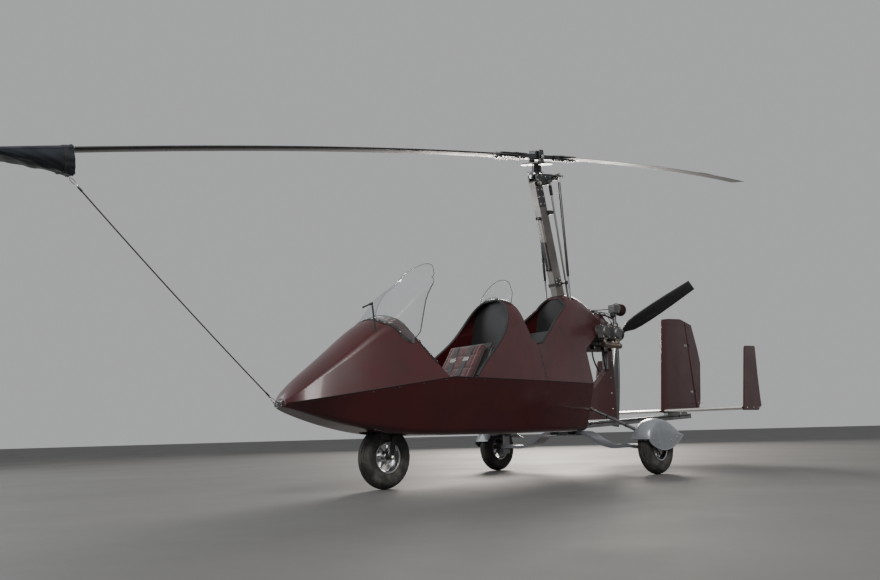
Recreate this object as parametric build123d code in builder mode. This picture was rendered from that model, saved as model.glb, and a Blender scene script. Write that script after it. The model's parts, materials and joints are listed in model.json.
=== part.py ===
from build123d import *

import os
from math import cos, radians, sin, tan

# Tandem open gyroplane, nose towards -Y, port side +X, ground at Z 0, millimetres.

os.makedirs("parts", exist_ok=True)

# Wheels and their places
tyre_radius = 200.0
tyre_width = 104.0
rim_radius = 102.0
rim_width = 84.0
wheel_bore = 12.55
axle_radius = 12.5
main_wheel_y = 221.0
half_track = 805.0
nose_wheel_y = -1770.0
steer_rake = 10.0

# Body shell
wall = 12.0
rim_height = 710.0
nose_rim_height = 540.0
nose_tip_y = -2550.0
front_body_end = -1450.0
tub_end_y = 200.0
bilge = 60.0
seam_lift = 20.0
seat_gap = 0.3

# Keel and mast
keel_size = 50.0
keel_wall = 4.0
keel_height = 374.0
keel_front_y = -1480.0
keel_bend_y = 330.0
boom_end_y = 2330.0
boom_end_height = 455.0
mast_width = 60.0
mast_depth = 106.0
mast_foot_y = 262.0
mast_bend_height = 1215.0
mast_lean = 13.3
pivot_height = 2455.0

# Rotor head
head_pitch = 12.0
head_roll = 12.0
roll_axis_rise = 68.0
hub_rise = 172.0
hub_offset = 33.0
pitch_bolt_radius = 10.0
roll_bolt_radius = 8.0
teeter_bolt_radius = 8.0
running_gap = 0.05
moving_gap = 5.5

# Rotor
rotor_radius = 4200.0
blade_chord = 200.0
blade_thickness = 22.0
blade_root = 330.0
hub_bar_half = 530.0
hub_bar_width = 80.0
hub_bar_height = 38.0
grip_width = 112.0
front_droop = 4.2
rear_droop = 4.2
blade_pitch = 2.6

# Propeller
prop_radius = 860.0
prop_height = 1217.0
prop_y = 1087.0
prop_hub_radius = 62.0
prop_start_angle = 24.0

# Tail
stab_half_span = 810.0
stab_front_y = 1787.0
stab_chord = 385.0
stab_height = 504.0
stab_thickness = 34.0
fin_thickness = 46.0
end_fin_thickness = 16.0

# Frames that follow the mast and the rotor head
mast_slope = tan(radians(mast_lean))
pivot_y = mast_foot_y - (pivot_height - mast_bend_height) * mast_slope
pivot = Vector(0, pivot_y, pivot_height)
gimbal_plane = Plane(
    origin=pivot,
    x_dir=(1, 0, 0),
    z_dir=(0, -sin(radians(head_pitch)), cos(radians(head_pitch))),
)
roll_plane = Plane(
    origin=gimbal_plane.from_local_coords((0, 0, roll_axis_rise)),
    x_dir=gimbal_plane.x_dir * cos(radians(head_roll)) - gimbal_plane.z_dir * sin(radians(head_roll)),
    z_dir=gimbal_plane.x_dir * sin(radians(head_roll)) + gimbal_plane.z_dir * cos(radians(head_roll)),
)
spin_plane = Plane(
    origin=roll_plane.from_local_coords((0, hub_offset, 0)),
    x_dir=roll_plane.x_dir,
    z_dir=roll_plane.z_dir,
)
hub_plane = spin_plane.offset(hub_rise)


def side_plane(frame, x=0.0, y=0.0, z=0.0):
    """Plane across a frame's x axis: sketch x runs aft along the frame, sketch y up."""
    return Plane(origin=frame.from_local_coords((x, y, z)), x_dir=frame.y_dir, z_dir=frame.x_dir)


def cross_plane(frame, x=0.0, y=0.0, z=0.0):
    """Plane across a frame's y axis: sketch x runs to port, sketch y up."""
    return Plane(origin=frame.from_local_coords((x, y, z)), x_dir=frame.x_dir, z_dir=-frame.y_dir)


def write(builder, name):
    """Label a finished piece and write it to its own file."""
    builder.part.label = name
    export_step(builder.part, "parts/" + name + ".step")


def rim_at(y):
    """Height of the seam between the tub and the shells above it."""
    share = min(1.0, (y - nose_tip_y) / (front_body_end - nose_tip_y))
    return nose_rim_height + (rim_height - nose_rim_height) * share


def tub_section(y, floor_half, side_half, floor_z, radius, inset=0.0):
    """One station of the tub: flat floor, rounded bilges, sides up to the seam."""
    top = rim_at(y)
    with BuildSketch(Plane.XZ.offset(-y)) as section:
        with BuildLine():
            Polyline(
                (-(side_half - inset), top),
                (-(floor_half - inset), floor_z + inset),
                (floor_half - inset, floor_z + inset),
                (side_half - inset, top),
                close=True,
            )
        make_face()
        fillet(section.vertices().group_by(Axis.Y)[0], max(radius - inset, 3))
    return section.sketch


def shell_section(y, base_z, side_half, shoulder_half, shoulder_z, crown_z, radius, inset=0.0):
    """One station of an upper shell: leaning sides, rounded shoulders, arched crown."""
    with BuildSketch(Plane.XZ.offset(-y)) as section:
        with BuildLine():
            shoulder = shoulder_half - inset
            Polyline(
                (-shoulder, shoulder_z - inset),
                (-(side_half - inset), base_z),
                (side_half - inset, base_z),
                (shoulder, shoulder_z - inset),
            )
            ThreePointArc((shoulder, shoulder_z - inset), (0, crown_z - inset), (-shoulder, shoulder_z - inset))
        make_face()
        corners = section.vertices().sort_by(Axis.Y)[-2:]
        fillet(corners, max(radius - inset, 3))
    return section.sketch


# Stations of the front body: y, floor half width, side half width, floor height,
# shoulder half width, shoulder height, crown height, shoulder radius, bilge radius
front_stations = [
    (nose_tip_y, 48, 72, 516, 50, 557, 570, 8, 10),
    (-2500, 84, 142, 500, 104, 596, 626, 22, 22),
    (-2380, 122, 203, 462, 145, 688, 728, 40, 45),
    (-2150, 172, 258, 404, 180, 852, 912, 70, bilge),
    (-1850, 216, 312, 354, 208, 1040, 1116, 90, bilge),
    (-1650, 232, 336, 338, 220, 1066, 1132, 90, bilge),
    (front_body_end, 240, 350, 332, 228, 1060, 1122, 90, bilge),
]

# Stations of the tub behind them: y, floor half width, side half width, floor height
tub_stations = [
    (front_body_end, 240, 350, 332),
    (-1000, 244, 360, 330),
    (-400, 242, 352, 330),
    (tub_end_y, 206, 306, 334),
]

# Stations of the two mouldings above the tub, from the front seat to the engine:
# y, side half width, shoulder half width, shoulder height, crown height, shoulder radius
body_joint_y = -470.0
mid_stations = [
    (-1250, 356, 305, 930, 1000, 80),
    (-1000, 360, 278, 1040, 1150, 80),
    (-820, 358, 262, 1090, 1275, 80),
    (-650, 355, 250, 1130, 1366, 80),
    (body_joint_y, 350, 240, 1130, 1260, 80),
]
rear_stations = [
    (body_joint_y, 350, 240, 1130, 1240, 80),
    (-200, 340, 225, 1150, 1270, 80),
    (0, 325, 205, 1260, 1390, 80),
    (150, 312, 185, 1340, 1478, 80),
    (400, 282, 165, 1345, 1462, 70),
    (700, 240, 140, 1290, 1385, 60),
]

# Edges of the cockpits and of the engine bay, as points (y, z) on the side view
cowl_edge = [(-1490, 710), (-1835, 1118)]
fairing_edge = [(-1245, 705), (-1020, 900), (-820, 1080), (-715, 1250), (-655, 1420)]
rear_cockpit_edge = [(-640, 1440), (-590, 1230), (-520, 1010), (-400, 1010), (80, 1370), (160, 1560)]
rear_body_end = 205.0
tail_edge = [(rear_body_end, 1000), (740, 1300)]

body_half = 600.0


def side_prism(points):
    """Solid as wide as the body over a side-view outline of (y, z) points."""
    with BuildPart() as prism:
        with BuildSketch(Plane.YZ):
            with BuildLine():
                Polyline(*points, close=True)
            make_face()
        extrude(amount=body_half, both=True)
    return prism.part


def edge_slab(edge, start, end):
    """Slab along a side-view edge, between two distances measured aft from it."""
    (y1, z1), (y2, z2) = edge
    along = Vector(y2 - y1, z2 - z1).normalized()
    out = Vector(along.Y, -along.X)
    low = Vector(y1, z1) - along * body_half
    high = Vector(y2, z2) + along * body_half
    corners = [low + out * start, high + out * start, high + out * end, low + out * end]
    return side_prism([(corner.X, corner.Y) for corner in corners])


def cross_slab(start, end):
    """Slab across the whole body between two stations."""
    return side_prism([(start, 0), (end, 0), (end, 1900), (start, 1900)])


def rod(start, end, radius, bore=0.0):
    """Round bar, or tube with a bore, between two points."""
    start, end = Vector(*start), Vector(*end)
    with BuildPart() as bar:
        with BuildSketch(Plane(origin=start, z_dir=end - start)):
            Circle(radius)
            if bore:
                Circle(bore, mode=Mode.SUBTRACT)
        extrude(amount=(end - start).length)
    return bar.part


def block(low, high):
    """Box between two corner points."""
    size = [b - a for a, b in zip(low, high)]
    centre = [(a + b) / 2 for a, b in zip(low, high)]
    with BuildPart() as box:
        with Locations(tuple(centre)):
            Box(*size)
    return box.part


# Solids on each side of the seam between the tub and the shells
seam = [
    (nose_tip_y - 100, rim_at(nose_tip_y - 100)),
    (front_body_end, rim_height),
    (boom_end_y, rim_height),
]
above_seam = side_prism(seam + [(boom_end_y, 1800), (nose_tip_y - 100, 1800)])
below_seam = side_prism(seam + [(boom_end_y, 0), (nose_tip_y - 100, 0)])
nose_end = cross_slab(nose_tip_y - 50, nose_tip_y + wall)


def tub_solid(inset):
    """Tub's form, open above the seam: its skin, or the space inside at an inset."""
    front = loft(
        sections=[
            tub_section(y, f, s, z, b, inset=inset) for y, f, s, z, _, _, _, _, b in front_stations
        ]
    )
    rear = loft(sections=[tub_section(y, f, s, z, bilge, inset=inset) for y, f, s, z in tub_stations])
    solid = front + rear
    if inset:
        solid = solid - nose_end - cross_slab(tub_end_y - wall, tub_end_y + 100)
    return solid


def shell_solid(stations, inset):
    """Form of an upper shell from its stations: its skin, or the space inside."""
    with BuildPart() as solid:
        loft(
            sections=[
                shell_section(y, rim_at(y) - seam_lift, s, sh, sz, c, r, inset=inset)
                for y, s, sh, sz, c, r in stations
            ]
        )
    return solid.part


cowl_stations = [(y, s, sh, sz, c, r) for y, _, s, _, sh, sz, c, r, _ in front_stations]
tub_skin = tub_solid(0)
tub_space = tub_solid(wall)
tub_fit = tub_solid(wall + seat_gap)
cowl_skin = shell_solid(cowl_stations, 0)
cowl_space = shell_solid(cowl_stations, wall) - nose_end
cowl_fit = shell_solid(cowl_stations, wall + seat_gap) - below_seam
mid_fit = shell_solid(mid_stations, wall + seat_gap) - below_seam
rear_fit = shell_solid(rear_stations, wall + seat_gap) - below_seam

# Opening of the front cockpit behind its cowl, and of the rear cockpit
with BuildPart() as front_opening:
    with BuildSketch(Plane.YZ):
        with BuildLine():
            Spline(*fairing_edge)
            Polyline(fairing_edge[-1], (-655, 1900), (-2700, 1900), (-2700, 600), (-1245, 600), fairing_edge[0])
        make_face()
    extrude(amount=body_half, both=True)
with BuildPart() as rear_opening:
    with BuildSketch(Plane.YZ):
        with BuildLine():
            Polyline(*rear_cockpit_edge, close=True)
        make_face()
    extrude(amount=body_half, both=True)

# Places of the nose leg
steer_plane = Plane(
    origin=(0, nose_wheel_y, tyre_radius),
    x_dir=(1, 0, 0),
    z_dir=(0, sin(radians(steer_rake)), cos(radians(steer_rake))),
)
steer_tube_radius = 17.0
steer_head_radius = 30.0
steer_head_low = 262.0
steer_head_high = 372.0
well_radius = 165.0
well_roof = 470.0

# Control rods and the spin-up shaft, hinged to the gimbal beside the mast
rod_x = 125.0
rod_radius = 8.0
rod_bar_y = 182.0
rod_bar_z = 52.0
rod_foot_y = 200.0
rod_foot_z = 1400.0
shaft_x = 62.0
shaft_pin_y = 120.0
shaft_pin_z = 5.0
shaft_foot_y = 268.0
shaft_foot_z = 1400.0
shaft_radius = 9.0

# Mast: a post behind the tub that bends forward above the engine
lean = Vector(0, -sin(radians(mast_lean)), cos(radians(mast_lean)))
mast_aft = Vector(0, cos(radians(mast_lean)), sin(radians(mast_lean)))
mast_top = pivot + lean * 38
mitre = mast_depth / 2 * tan(radians(mast_lean / 2))
mast_foot = keel_height + keel_size / 2 + seat_gap


def mast_at(height):
    """Point of the leaning mast's axis at a height."""
    return pivot + lean * ((height - pivot_height) / lean.Z)


def mast_outline(grow, foot):
    """Side-view corners of the mast, grown on every side."""
    half = mast_depth / 2 + grow
    top = mast_top + lean * grow
    front = top - mast_aft * half
    back = top + mast_aft * half
    return [
        (mast_foot_y - half, foot),
        (mast_foot_y - half, mast_bend_height - mitre),
        (front.Y, front.Z),
        (back.Y, back.Z),
        (mast_foot_y + half, mast_bend_height + mitre),
        (mast_foot_y + half, foot),
    ]


with BuildPart() as mast:
    with BuildSketch(Plane.YZ):
        with BuildLine():
            Polyline(*mast_outline(0, mast_foot), close=True)
        make_face()
    extrude(amount=mast_width / 2, both=True)
    fillet(mast.edges().filter_by(Axis.X).sort_by(Axis.Z)[-2:], 34)
    add(rod((-52, pivot_y, pivot_height), (52, pivot_y, pivot_height), pitch_bolt_radius))
write(mast, "mast")

# Tub: floor and sides, open above, with the well of the nose wheel
with BuildPart() as well:
    with Locations((0, nose_wheel_y, (tyre_radius + well_roof + wall) / 2)):
        Cylinder(well_radius + wall, well_roof + wall - tyre_radius)
with BuildPart() as hull:
    add(tub_skin - tub_space)
    add(well.part & tub_skin)
    with Locations((0, nose_wheel_y, well_roof / 2)):
        Cylinder(well_radius, well_roof, mode=Mode.SUBTRACT)
    with BuildSketch(steer_plane.offset(steer_head_low)):
        Circle(steer_head_radius + seat_gap)
    extrude(amount=steer_head_high - steer_head_low, mode=Mode.SUBTRACT)
    add(
        block(
            (-keel_size / 2 - seat_gap, 100, keel_height - keel_size / 2 - seat_gap),
            (keel_size / 2 + seat_gap, 300, keel_height + keel_size / 2 + seat_gap),
        ),
        mode=Mode.SUBTRACT,
    )
write(hull, "hull")

# Nose cowl, cut along the front cockpit's slanting edge
with BuildPart() as nose_cowl:
    add(cowl_skin - cowl_space)
    add(below_seam, mode=Mode.SUBTRACT)
    add(edge_slab(cowl_edge, 0, body_half), mode=Mode.SUBTRACT)
write(nose_cowl, "nose_cowl")

# Body behind the front cockpit, in two mouldings that meet in the rear cockpit
with BuildPart() as mid_fairing:
    add(shell_solid(mid_stations, 0) - shell_solid(mid_stations, wall))
    add(below_seam, mode=Mode.SUBTRACT)
    add(front_opening.part, mode=Mode.SUBTRACT)
    add(rear_opening.part, mode=Mode.SUBTRACT)
write(mid_fairing, "mid_fairing")

with BuildPart() as mast_hole:
    with BuildSketch(Plane.YZ):
        with BuildLine():
            Polyline(*mast_outline(8, 500), close=True)
        make_face()
    extrude(amount=mast_width / 2 + 8, both=True)
with BuildPart() as rear_cowl:
    add(shell_solid(rear_stations, 0) - shell_solid(rear_stations, wall))
    add(below_seam, mode=Mode.SUBTRACT)
    add(cross_slab(-1400, body_joint_y + seat_gap), mode=Mode.SUBTRACT)
    add(rear_opening.part, mode=Mode.SUBTRACT)
    tail_cut = [(rear_body_end, 600)] + tail_edge + [(900, 1300), (900, 600)]
    add(side_prism(tail_cut), mode=Mode.SUBTRACT)
    add(mast_hole.part, mode=Mode.SUBTRACT)
    for x in (-rod_x, rod_x):
        add(block((x - 14, rod_foot_y - 25, 1300), (x + 14, rod_foot_y + 37, 1600)), mode=Mode.SUBTRACT)
    add(block((30, 236, 1300), (shaft_x + 16, 300, 1600)), mode=Mode.SUBTRACT)
    for y in (500, 680):
        add(rod((-400, y, 1170), (400, y, 1170), 64), mode=Mode.SUBTRACT)
write(rear_cowl, "rear_cowl")

# Bulkheads and instrument panels that close the cockpits
with BuildPart() as rear_bulkhead:
    add(tub_fit & cross_slab(120, 130))
    add(rear_fit & cross_slab(120, 130))
    keel_hole = keel_size / 2 + seat_gap
    add(
        block((-keel_hole, 100, keel_height - keel_hole), (keel_hole, 150, keel_height + keel_hole)),
        mode=Mode.SUBTRACT,
    )
write(rear_bulkhead, "rear_bulkhead")

rear_panel_y = -645.0
below_panels = side_prism([(-2700, 0), (300, 0), (300, 800), (-2700, 800)])
with BuildPart() as instrument_panels:
    add(cowl_fit & edge_slab(cowl_edge, -46, -36))
    add(mid_fit & cross_slab(rear_panel_y, rear_panel_y + 10) & block((-400, -800, 880), (400, -500, 1500)))
    add(below_panels, mode=Mode.SUBTRACT)
write(instrument_panels, "instrument_panels")

# Keel: a square tube through the tub that rises aft as the tail boom
boom_rise = Vector(0, boom_end_y - keel_bend_y, boom_end_height - keel_height)


def keel_at(y):
    """Height of the boom's axis at a station."""
    return keel_height + max(0.0, y - keel_bend_y) * boom_rise.Z / boom_rise.Y


def square_ring(y, outer, inner):
    """Square tube's section across the body at a station."""
    with BuildSketch(Plane.XZ.offset(-y)) as ring:
        with Locations((0, keel_at(y))):
            Rectangle(outer, outer)
            Rectangle(inner, inner, mode=Mode.SUBTRACT)
    return ring.sketch


with BuildPart() as keel:
    extrude(square_ring(keel_front_y, keel_size, keel_size - 2 * keel_wall), keel_bend_y - keel_front_y, dir=(0, 1, 0))
    extrude(
        square_ring(keel_bend_y, keel_size, keel_size - 2 * keel_wall),
        boom_rise.length,
        dir=boom_rise.normalized(),
    )
write(keel, "keel")

# Keel saddles under the seats, between the tub's floor and the keel
with BuildPart() as keel_saddles:
    for y in (-1300, -700, -100):
        add(tub_fit & block((-60, y - 30, 300), (60, y + 30, keel_height)))
    add(
        block(
            (-keel_size / 2 - seat_gap, keel_front_y, keel_height - keel_size / 2 - seat_gap),
            (keel_size / 2 + seat_gap, tub_end_y, keel_height + keel_size / 2 + seat_gap),
        ),
        mode=Mode.SUBTRACT,
    )
write(keel_saddles, "keel_saddles")

# Seats: a bent shell on two risers, with a cushion and a backrest pad
# front edge, hip and top as (y, z), and the half width
seats = [
    ((-1600, 505), (-1250, 455), (-900, 985), 200),
    ((-760, 520), (-400, 470), (-60, 1150), 190),
]
seat_thickness = 10.0


def seat_pad(start, run, rise, first, last, depth):
    """Side-view corners of a pad that lies along a seat shell."""
    low = rise * (seat_thickness / 2 + seat_gap)
    corners = [
        start + run * first + low,
        start + run * last + low,
        start + run * last + low + rise * depth,
        start + run * first + low + rise * depth,
    ]
    return [(corner.X, corner.Y) for corner in corners]


def soft_pad(corners, half):
    """Pad with rounded edges over a side-view outline."""
    with BuildPart() as pad:
        with BuildSketch(Plane.YZ):
            with BuildLine():
                Polyline(*corners, close=True)
            make_face()
        extrude(amount=half, both=True)
        fillet(pad.edges(), 14)
    return pad.part


with BuildPart() as seat_shells:
    for seat_front, seat_hip, seat_top, seat_half in seats:
        with BuildSketch(Plane.YZ):
            with BuildLine():
                FilletPolyline(seat_front, seat_hip, seat_top, radius=60)
            trace(line_width=seat_thickness)
        extrude(amount=seat_half, both=True)
write(seat_shells, "seat_shells")

with BuildPart() as seat_cushions:
    for seat_front, seat_hip, seat_top, seat_half in seats:
        run = Vector(seat_hip[0] - seat_front[0], seat_hip[1] - seat_front[1]).normalized()
        rise = Vector(-run.Y, run.X)
        add(soft_pad(seat_pad(Vector(*seat_hip), run, rise, -340, -75, 60), seat_half - 12))
write(seat_cushions, "seat_cushions")

with BuildPart() as seat_backrests:
    for seat_front, seat_hip, seat_top, seat_half in seats:
        run = Vector(seat_top[0] - seat_hip[0], seat_top[1] - seat_hip[1]).normalized()
        rise = Vector(-run.Y, run.X)
        add(soft_pad(seat_pad(Vector(*seat_hip), run, rise, 150, 610, 50), seat_half - 12))
write(seat_backrests, "seat_backrests")

with BuildPart() as seat_risers:
    for seat_front, seat_hip, seat_top, seat_half in seats:
        fall = Vector(0, 1) * -(seat_thickness / 2 + 1)
        first = Vector(*seat_front) * 0.85 + Vector(*seat_hip) * 0.15 + fall
        last = Vector(*seat_front) * 0.2 + Vector(*seat_hip) * 0.8 + fall
        outline = [(first.X, 300), (first.X, first.Y), (last.X, last.Y), (last.X, 300)]
        plate = side_prism(outline) & tub_fit
        add(plate & block((150, -3000, 0), (160, 3000, 900)))
        add(plate & block((-160, -3000, 0), (-150, 3000, 900)))
write(seat_risers, "seat_risers")

# Seat of the windscreens on the shells: arched sheets that grow aft out of the body
# y, half width at the foot, half width and height of the shoulder, height of the crown
screen_sheet = 4.0
screens = [
    (
        "front",
        cowl_skin,
        [
            (-2010, 150, 110, 940, 990),
            (-1900, 215, 180, 1040, 1100),
            (-1793, 245, 220, 1130, 1215),
            (-1641, 262, 262, 1285, 1372),
            (-1490, 268, 262, 1400, 1492),
            (-1330, 270, 255, 1465, 1556),
        ],
        [(-1712, 950), (-1665, 1000), (-1618, 1210), (-1555, 1400), (-1440, 1490), (-1250, 1700)],
        960,
    ),
    (
        "rear",
        shell_solid(mid_stations, 0),
        [
            (-676, 150, 120, 1325, 1368),
            (-645, 180, 150, 1360, 1418),
            (-610, 200, 165, 1395, 1470),
            (-570, 215, 178, 1425, 1515),
            (-520, 222, 185, 1450, 1550),
        ],
        [(-645, 1150), (-640, 1240), (-625, 1340), (-595, 1440), (-560, 1510), (-480, 1700)],
        1170,
    ),
]


def screen_solid(stations, foot, inset):
    """Arched form of a windscreen from its stations, at an inset."""
    with BuildPart() as solid:
        loft(sections=[shell_section(y, foot, f, s, z, c, 60, inset=inset) for y, f, s, z, c in stations])
    return solid.part


for screen_name, body_skin, stations, edge_points, foot in screens:
    with BuildPart() as screen:
        add(screen_solid(stations, foot - 60, 0) - screen_solid(stations, foot - 60, screen_sheet))
        add(cross_slab(stations[0][0] - 20, stations[0][0] + 6), mode=Mode.SUBTRACT)
        with BuildSketch(Plane.YZ):
            with BuildLine():
                Polyline(*edge_points, (200, 1700), (200, foot - 200), (edge_points[0][0], foot - 200), close=True)
            make_face()
        extrude(amount=body_half, both=True, mode=Mode.SUBTRACT)
        add(body_skin, mode=Mode.SUBTRACT)
    solids = screen.part.solids().sort_by(SortBy.VOLUME)
    sheet = Part() + solids[-1]
    sheet.label = screen_name + "_windscreen"
    export_step(sheet, "parts/" + screen_name + "_windscreen.step")

# Nose lamps, tow hook and air-speed probe
with BuildPart() as nose_lamps:
    for x in (-1, 1):
        lamp_x = 84 * x
        add(rod((lamp_x, -2495, 556), (lamp_x, -2460, 556), 20))
write(nose_lamps, "nose_lamps")

with BuildPart() as nose_hook:
    add(block((-30, nose_tip_y - 6.3, 518), (30, nose_tip_y - seat_gap, 554)))
    add(block((-4, nose_tip_y - 40, 520), (4, nose_tip_y - 6, 552)))
    add(rod((-10, nose_tip_y - 24, 536), (10, nose_tip_y - 24, 536), 8), mode=Mode.SUBTRACT)
write(nose_hook, "nose_hook")

with BuildPart() as probe:
    add(rod((180, -1965, 900), (180, -2005, 1170), 6))
    add(rod((180, -2003, 1166), (180, -2075, 1132), 5))
    add(cowl_skin, mode=Mode.SUBTRACT)
probe_solid = Part() + probe.part.solids().sort_by(SortBy.VOLUME)[-1]
probe_solid.label = "probe"
export_step(probe_solid, "parts/probe.step")

# Nose leg: bearing tube in the tub, fork and wheel
with BuildPart() as steer_head:
    with BuildSketch(steer_plane.offset(steer_head_low)):
        Circle(steer_head_radius)
        Circle(steer_tube_radius + running_gap, mode=Mode.SUBTRACT)
    extrude(amount=steer_head_high - steer_head_low)
write(steer_head, "steer_head")

fork_half = 72.0
with BuildPart() as nose_fork:
    with BuildSketch(steer_plane.offset(222)):
        Circle(steer_tube_radius)
    extrude(amount=steer_head_high + 24 - 222)
    with BuildSketch(steer_plane.offset(222)):
        RectangleRounded(2 * fork_half + 26, 56, 12)
    extrude(amount=22)
    for x in (-fork_half, fork_half):
        with BuildSketch(steer_plane.offset(-14)):
            with Locations((x, 0)):
                RectangleRounded(14, 36, 5)
        extrude(amount=236)
    add(rod((-fork_half - 14, nose_wheel_y, tyre_radius), (fork_half + 14, nose_wheel_y, tyre_radius), axle_radius))
write(nose_fork, "nose_fork")


def wheel(centre, name, inner=0):
    """Rim and tyre of one wheel, as two files; the rim carries a brake disc on its inner side."""
    half = rim_width / 2
    with BuildPart() as rim:
        with BuildSketch(Plane.XY) as section:
            with BuildLine():
                Polyline(
                    (-half, wheel_bore),
                    (-half, 34),
                    (-12, 40),
                    (-12, 78),
                    (-half + 14, 88),
                    (-half, rim_radius),
                    (-half + 8, rim_radius),
                    (-half + 16, 93),
                    (half - 16, 93),
                    (half - 8, rim_radius),
                    (half, rim_radius),
                    (half - 14, 88),
                    (4, 78),
                    (4, 40),
                    (half, 34),
                    (half, wheel_bore),
                    close=True,
                )
            make_face()
        revolve(axis=Axis.X)
        with BuildSketch(Plane.YZ.offset(-20)):
            with PolarLocations(59, 6):
                Circle(11)
        extrude(amount=40, mode=Mode.SUBTRACT)
        if inner:
            add(rod((inner * half, 0, 0), (inner * 59, 0, 0), 30, wheel_bore))
            add(rod((inner * 54, 0, 0), (inner * 59, 0, 0), 75, wheel_bore))
    rim.part.position = centre
    write(rim, name + "_rim")
    wide = tyre_width / 2
    with BuildPart() as tyre:
        with BuildSketch(Plane.XY):
            with BuildLine():
                Polyline(
                    (-half + 6, rim_radius + seat_gap),
                    (-wide, 140),
                    (-wide, 168),
                )
                ThreePointArc((-wide, 168), (0, tyre_radius), (wide, 168))
                Polyline(
                    (wide, 168),
                    (wide, 140),
                    (half - 6, rim_radius + seat_gap),
                    (-half + 6, rim_radius + seat_gap),
                )
            make_face()
        revolve(axis=Axis.X)
    tyre.part.position = centre
    write(tyre, name + "_tyre")


wheel((0, nose_wheel_y, tyre_radius), "nose")
wheel((half_track, main_wheel_y, tyre_radius), "left", -1)
wheel((-half_track, main_wheel_y, tyre_radius), "right", 1)

# Main gear: bow leaf under the belly, struts from the mast, flanges with stub axles
bow_arm = [(150, 320.2), (300, 262), (500, 206), (620, 213), (690, 205)]
bow_thickness = 26.0
flange_x = 690.0 + seat_gap
with BuildPart() as gear_bow:
    with BuildSketch(Plane.XZ.offset(-main_wheel_y + 70)):
        with BuildLine():
            for rise in (-bow_thickness / 2, bow_thickness / 2):
                Line((-bow_arm[0][0], bow_arm[0][1] + rise), (bow_arm[0][0], bow_arm[0][1] + rise))
                for side in (-1, 1):
                    Spline(*[(side * x, z + rise) for x, z in bow_arm], tangents=((side, 0), (side, 0)))
            for side in (-1, 1):
                tip_x, tip_z = bow_arm[-1]
                Line((side * tip_x, tip_z - bow_thickness / 2), (side * tip_x, tip_z + bow_thickness / 2))
        make_face()
    extrude(amount=-140)
write(gear_bow, "gear_bow")

with BuildPart() as gear_struts:
    for side in (-1, 1):
        add(rod((side * 25, 240, 597.3), (side * 700, 228, 308), 14))
    add(block((-mast_width / 2 - seat_gap, 100, 500), (mast_width / 2 + seat_gap, 400, 700)), mode=Mode.SUBTRACT)
    for side in (-1, 1):
        low, high = sorted((side * 690, side * 760))
        add(block((low, 100, 200), (high, 400, 400)), mode=Mode.SUBTRACT)
write(gear_struts, "gear_struts")

with BuildPart() as stub_axles:
    for side in (-1, 1):
        low, high = sorted((side * flange_x, side * (flange_x + 10)))
        add(block((low, 176, 150), (high, 266, 336)))
        add(rod((side * (flange_x + 5), main_wheel_y, tyre_radius), (side * 866, main_wheel_y, tyre_radius), axle_radius))
        low, high = sorted((side * (flange_x + 5), side * (730 - seat_gap)))
        add(block((low, 190, 292), (high, 230, 322)))
write(stub_axles, "stub_axles")

with BuildPart() as brake_calipers:
    for side in (-1, 1):
        low, high = sorted((side * (flange_x + 10 + seat_gap), side * 740))
        add(block((low, 238, 236), (high, 292, 282)))
write(brake_calipers, "brake_calipers")

# Mudguards: deep fairings over the main wheels, open below
guard_inner = 730.0
guard_outer = 880.0
guard_wall = 6.0


def guard_form(inset, drop):
    """Solid of the port mudguard's outline, at an inset and let down by a drop."""
    with BuildPart() as form:
        with BuildSketch(Plane.YZ.offset(guard_inner + inset)):
            with BuildLine():
                ThreePointArc((-10, 330), (88, 398), (210, 417))
                ThreePointArc((210, 417), (324, 408), (430, 377))
                Polyline((430, 377), (650, 288), (640, 250), (430, 195), (-20, 258), (-10, 330))
            make_face()
            if inset:
                offset(amount=-inset, kind=Kind.INTERSECTION, mode=Mode.REPLACE)
        extrude(amount=guard_outer - guard_inner - 2 * inset)
    return Pos(0, 0, -drop) * form.part


guard = guard_form(0, 0) - guard_form(guard_wall, 0) - guard_form(guard_wall, 2 * guard_wall)
guard = guard - block((guard_inner - 5, 222, 150), (guard_inner + 10, 308, 298))
with BuildPart() as mudguards:
    add(guard)
    mirror(guard, about=Plane.YZ)
write(mudguards, "mudguards")

# Engine behind the mast: pylon, block, cylinders, gearbox, carburettors, exhaust
block_low = 1080.0
with BuildPart() as engine_pylon:
    with BuildSketch(Plane.YZ):
        with BuildLine():
            Polyline(
                (mast_foot_y + mast_depth / 2 + seat_gap, 420),
                (mast_foot_y + mast_depth / 2 + seat_gap, 470),
                (852, 880),
                (852, 1040),
                (mast_foot_y + mast_depth / 2 + seat_gap, 1000),
                (mast_foot_y + mast_depth / 2 + seat_gap, block_low - seat_gap),
                (935, block_low - seat_gap),
                (935, 430),
                close=True,
            )
        make_face()
    extrude(amount=32, both=True)
    boom_top = [(y, keel_at(y) + keel_size / 2 + seat_gap) for y in (300, keel_bend_y, 1200)]
    add(side_prism(boom_top + [(1200, 300), (300, 300)]), mode=Mode.SUBTRACT)
write(engine_pylon, "engine_pylon")

with BuildPart() as engine_block:
    add(block((-80, 420, block_low), (80, 800, 1280)))
    add(block((-58, 470, 1270), (58, 760, 1330)))
    fillet(engine_block.edges().filter_by(Axis.Y), 10)
write(engine_block, "engine_block")

cylinder_rows = (500, 680)
with BuildPart() as cylinders:
    for side in (-1, 1):
        for y in cylinder_rows:
            add(rod((side * (80 + seat_gap), y, 1170), (side * 220, y, 1170), 55))
            low, high = sorted((side * 216, side * 262))
            add(block((low, y - 56, 1114), (high, y + 56, 1226)))
write(cylinders, "cylinders")

with BuildPart() as gearbox:
    add(rod((0, 800 + seat_gap, prop_height), (0, 950, prop_height), 85))
    add(rod((0, 900, prop_height), (0, 960, prop_height), 25 + running_gap), mode=Mode.SUBTRACT)
write(gearbox, "gearbox")

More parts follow.
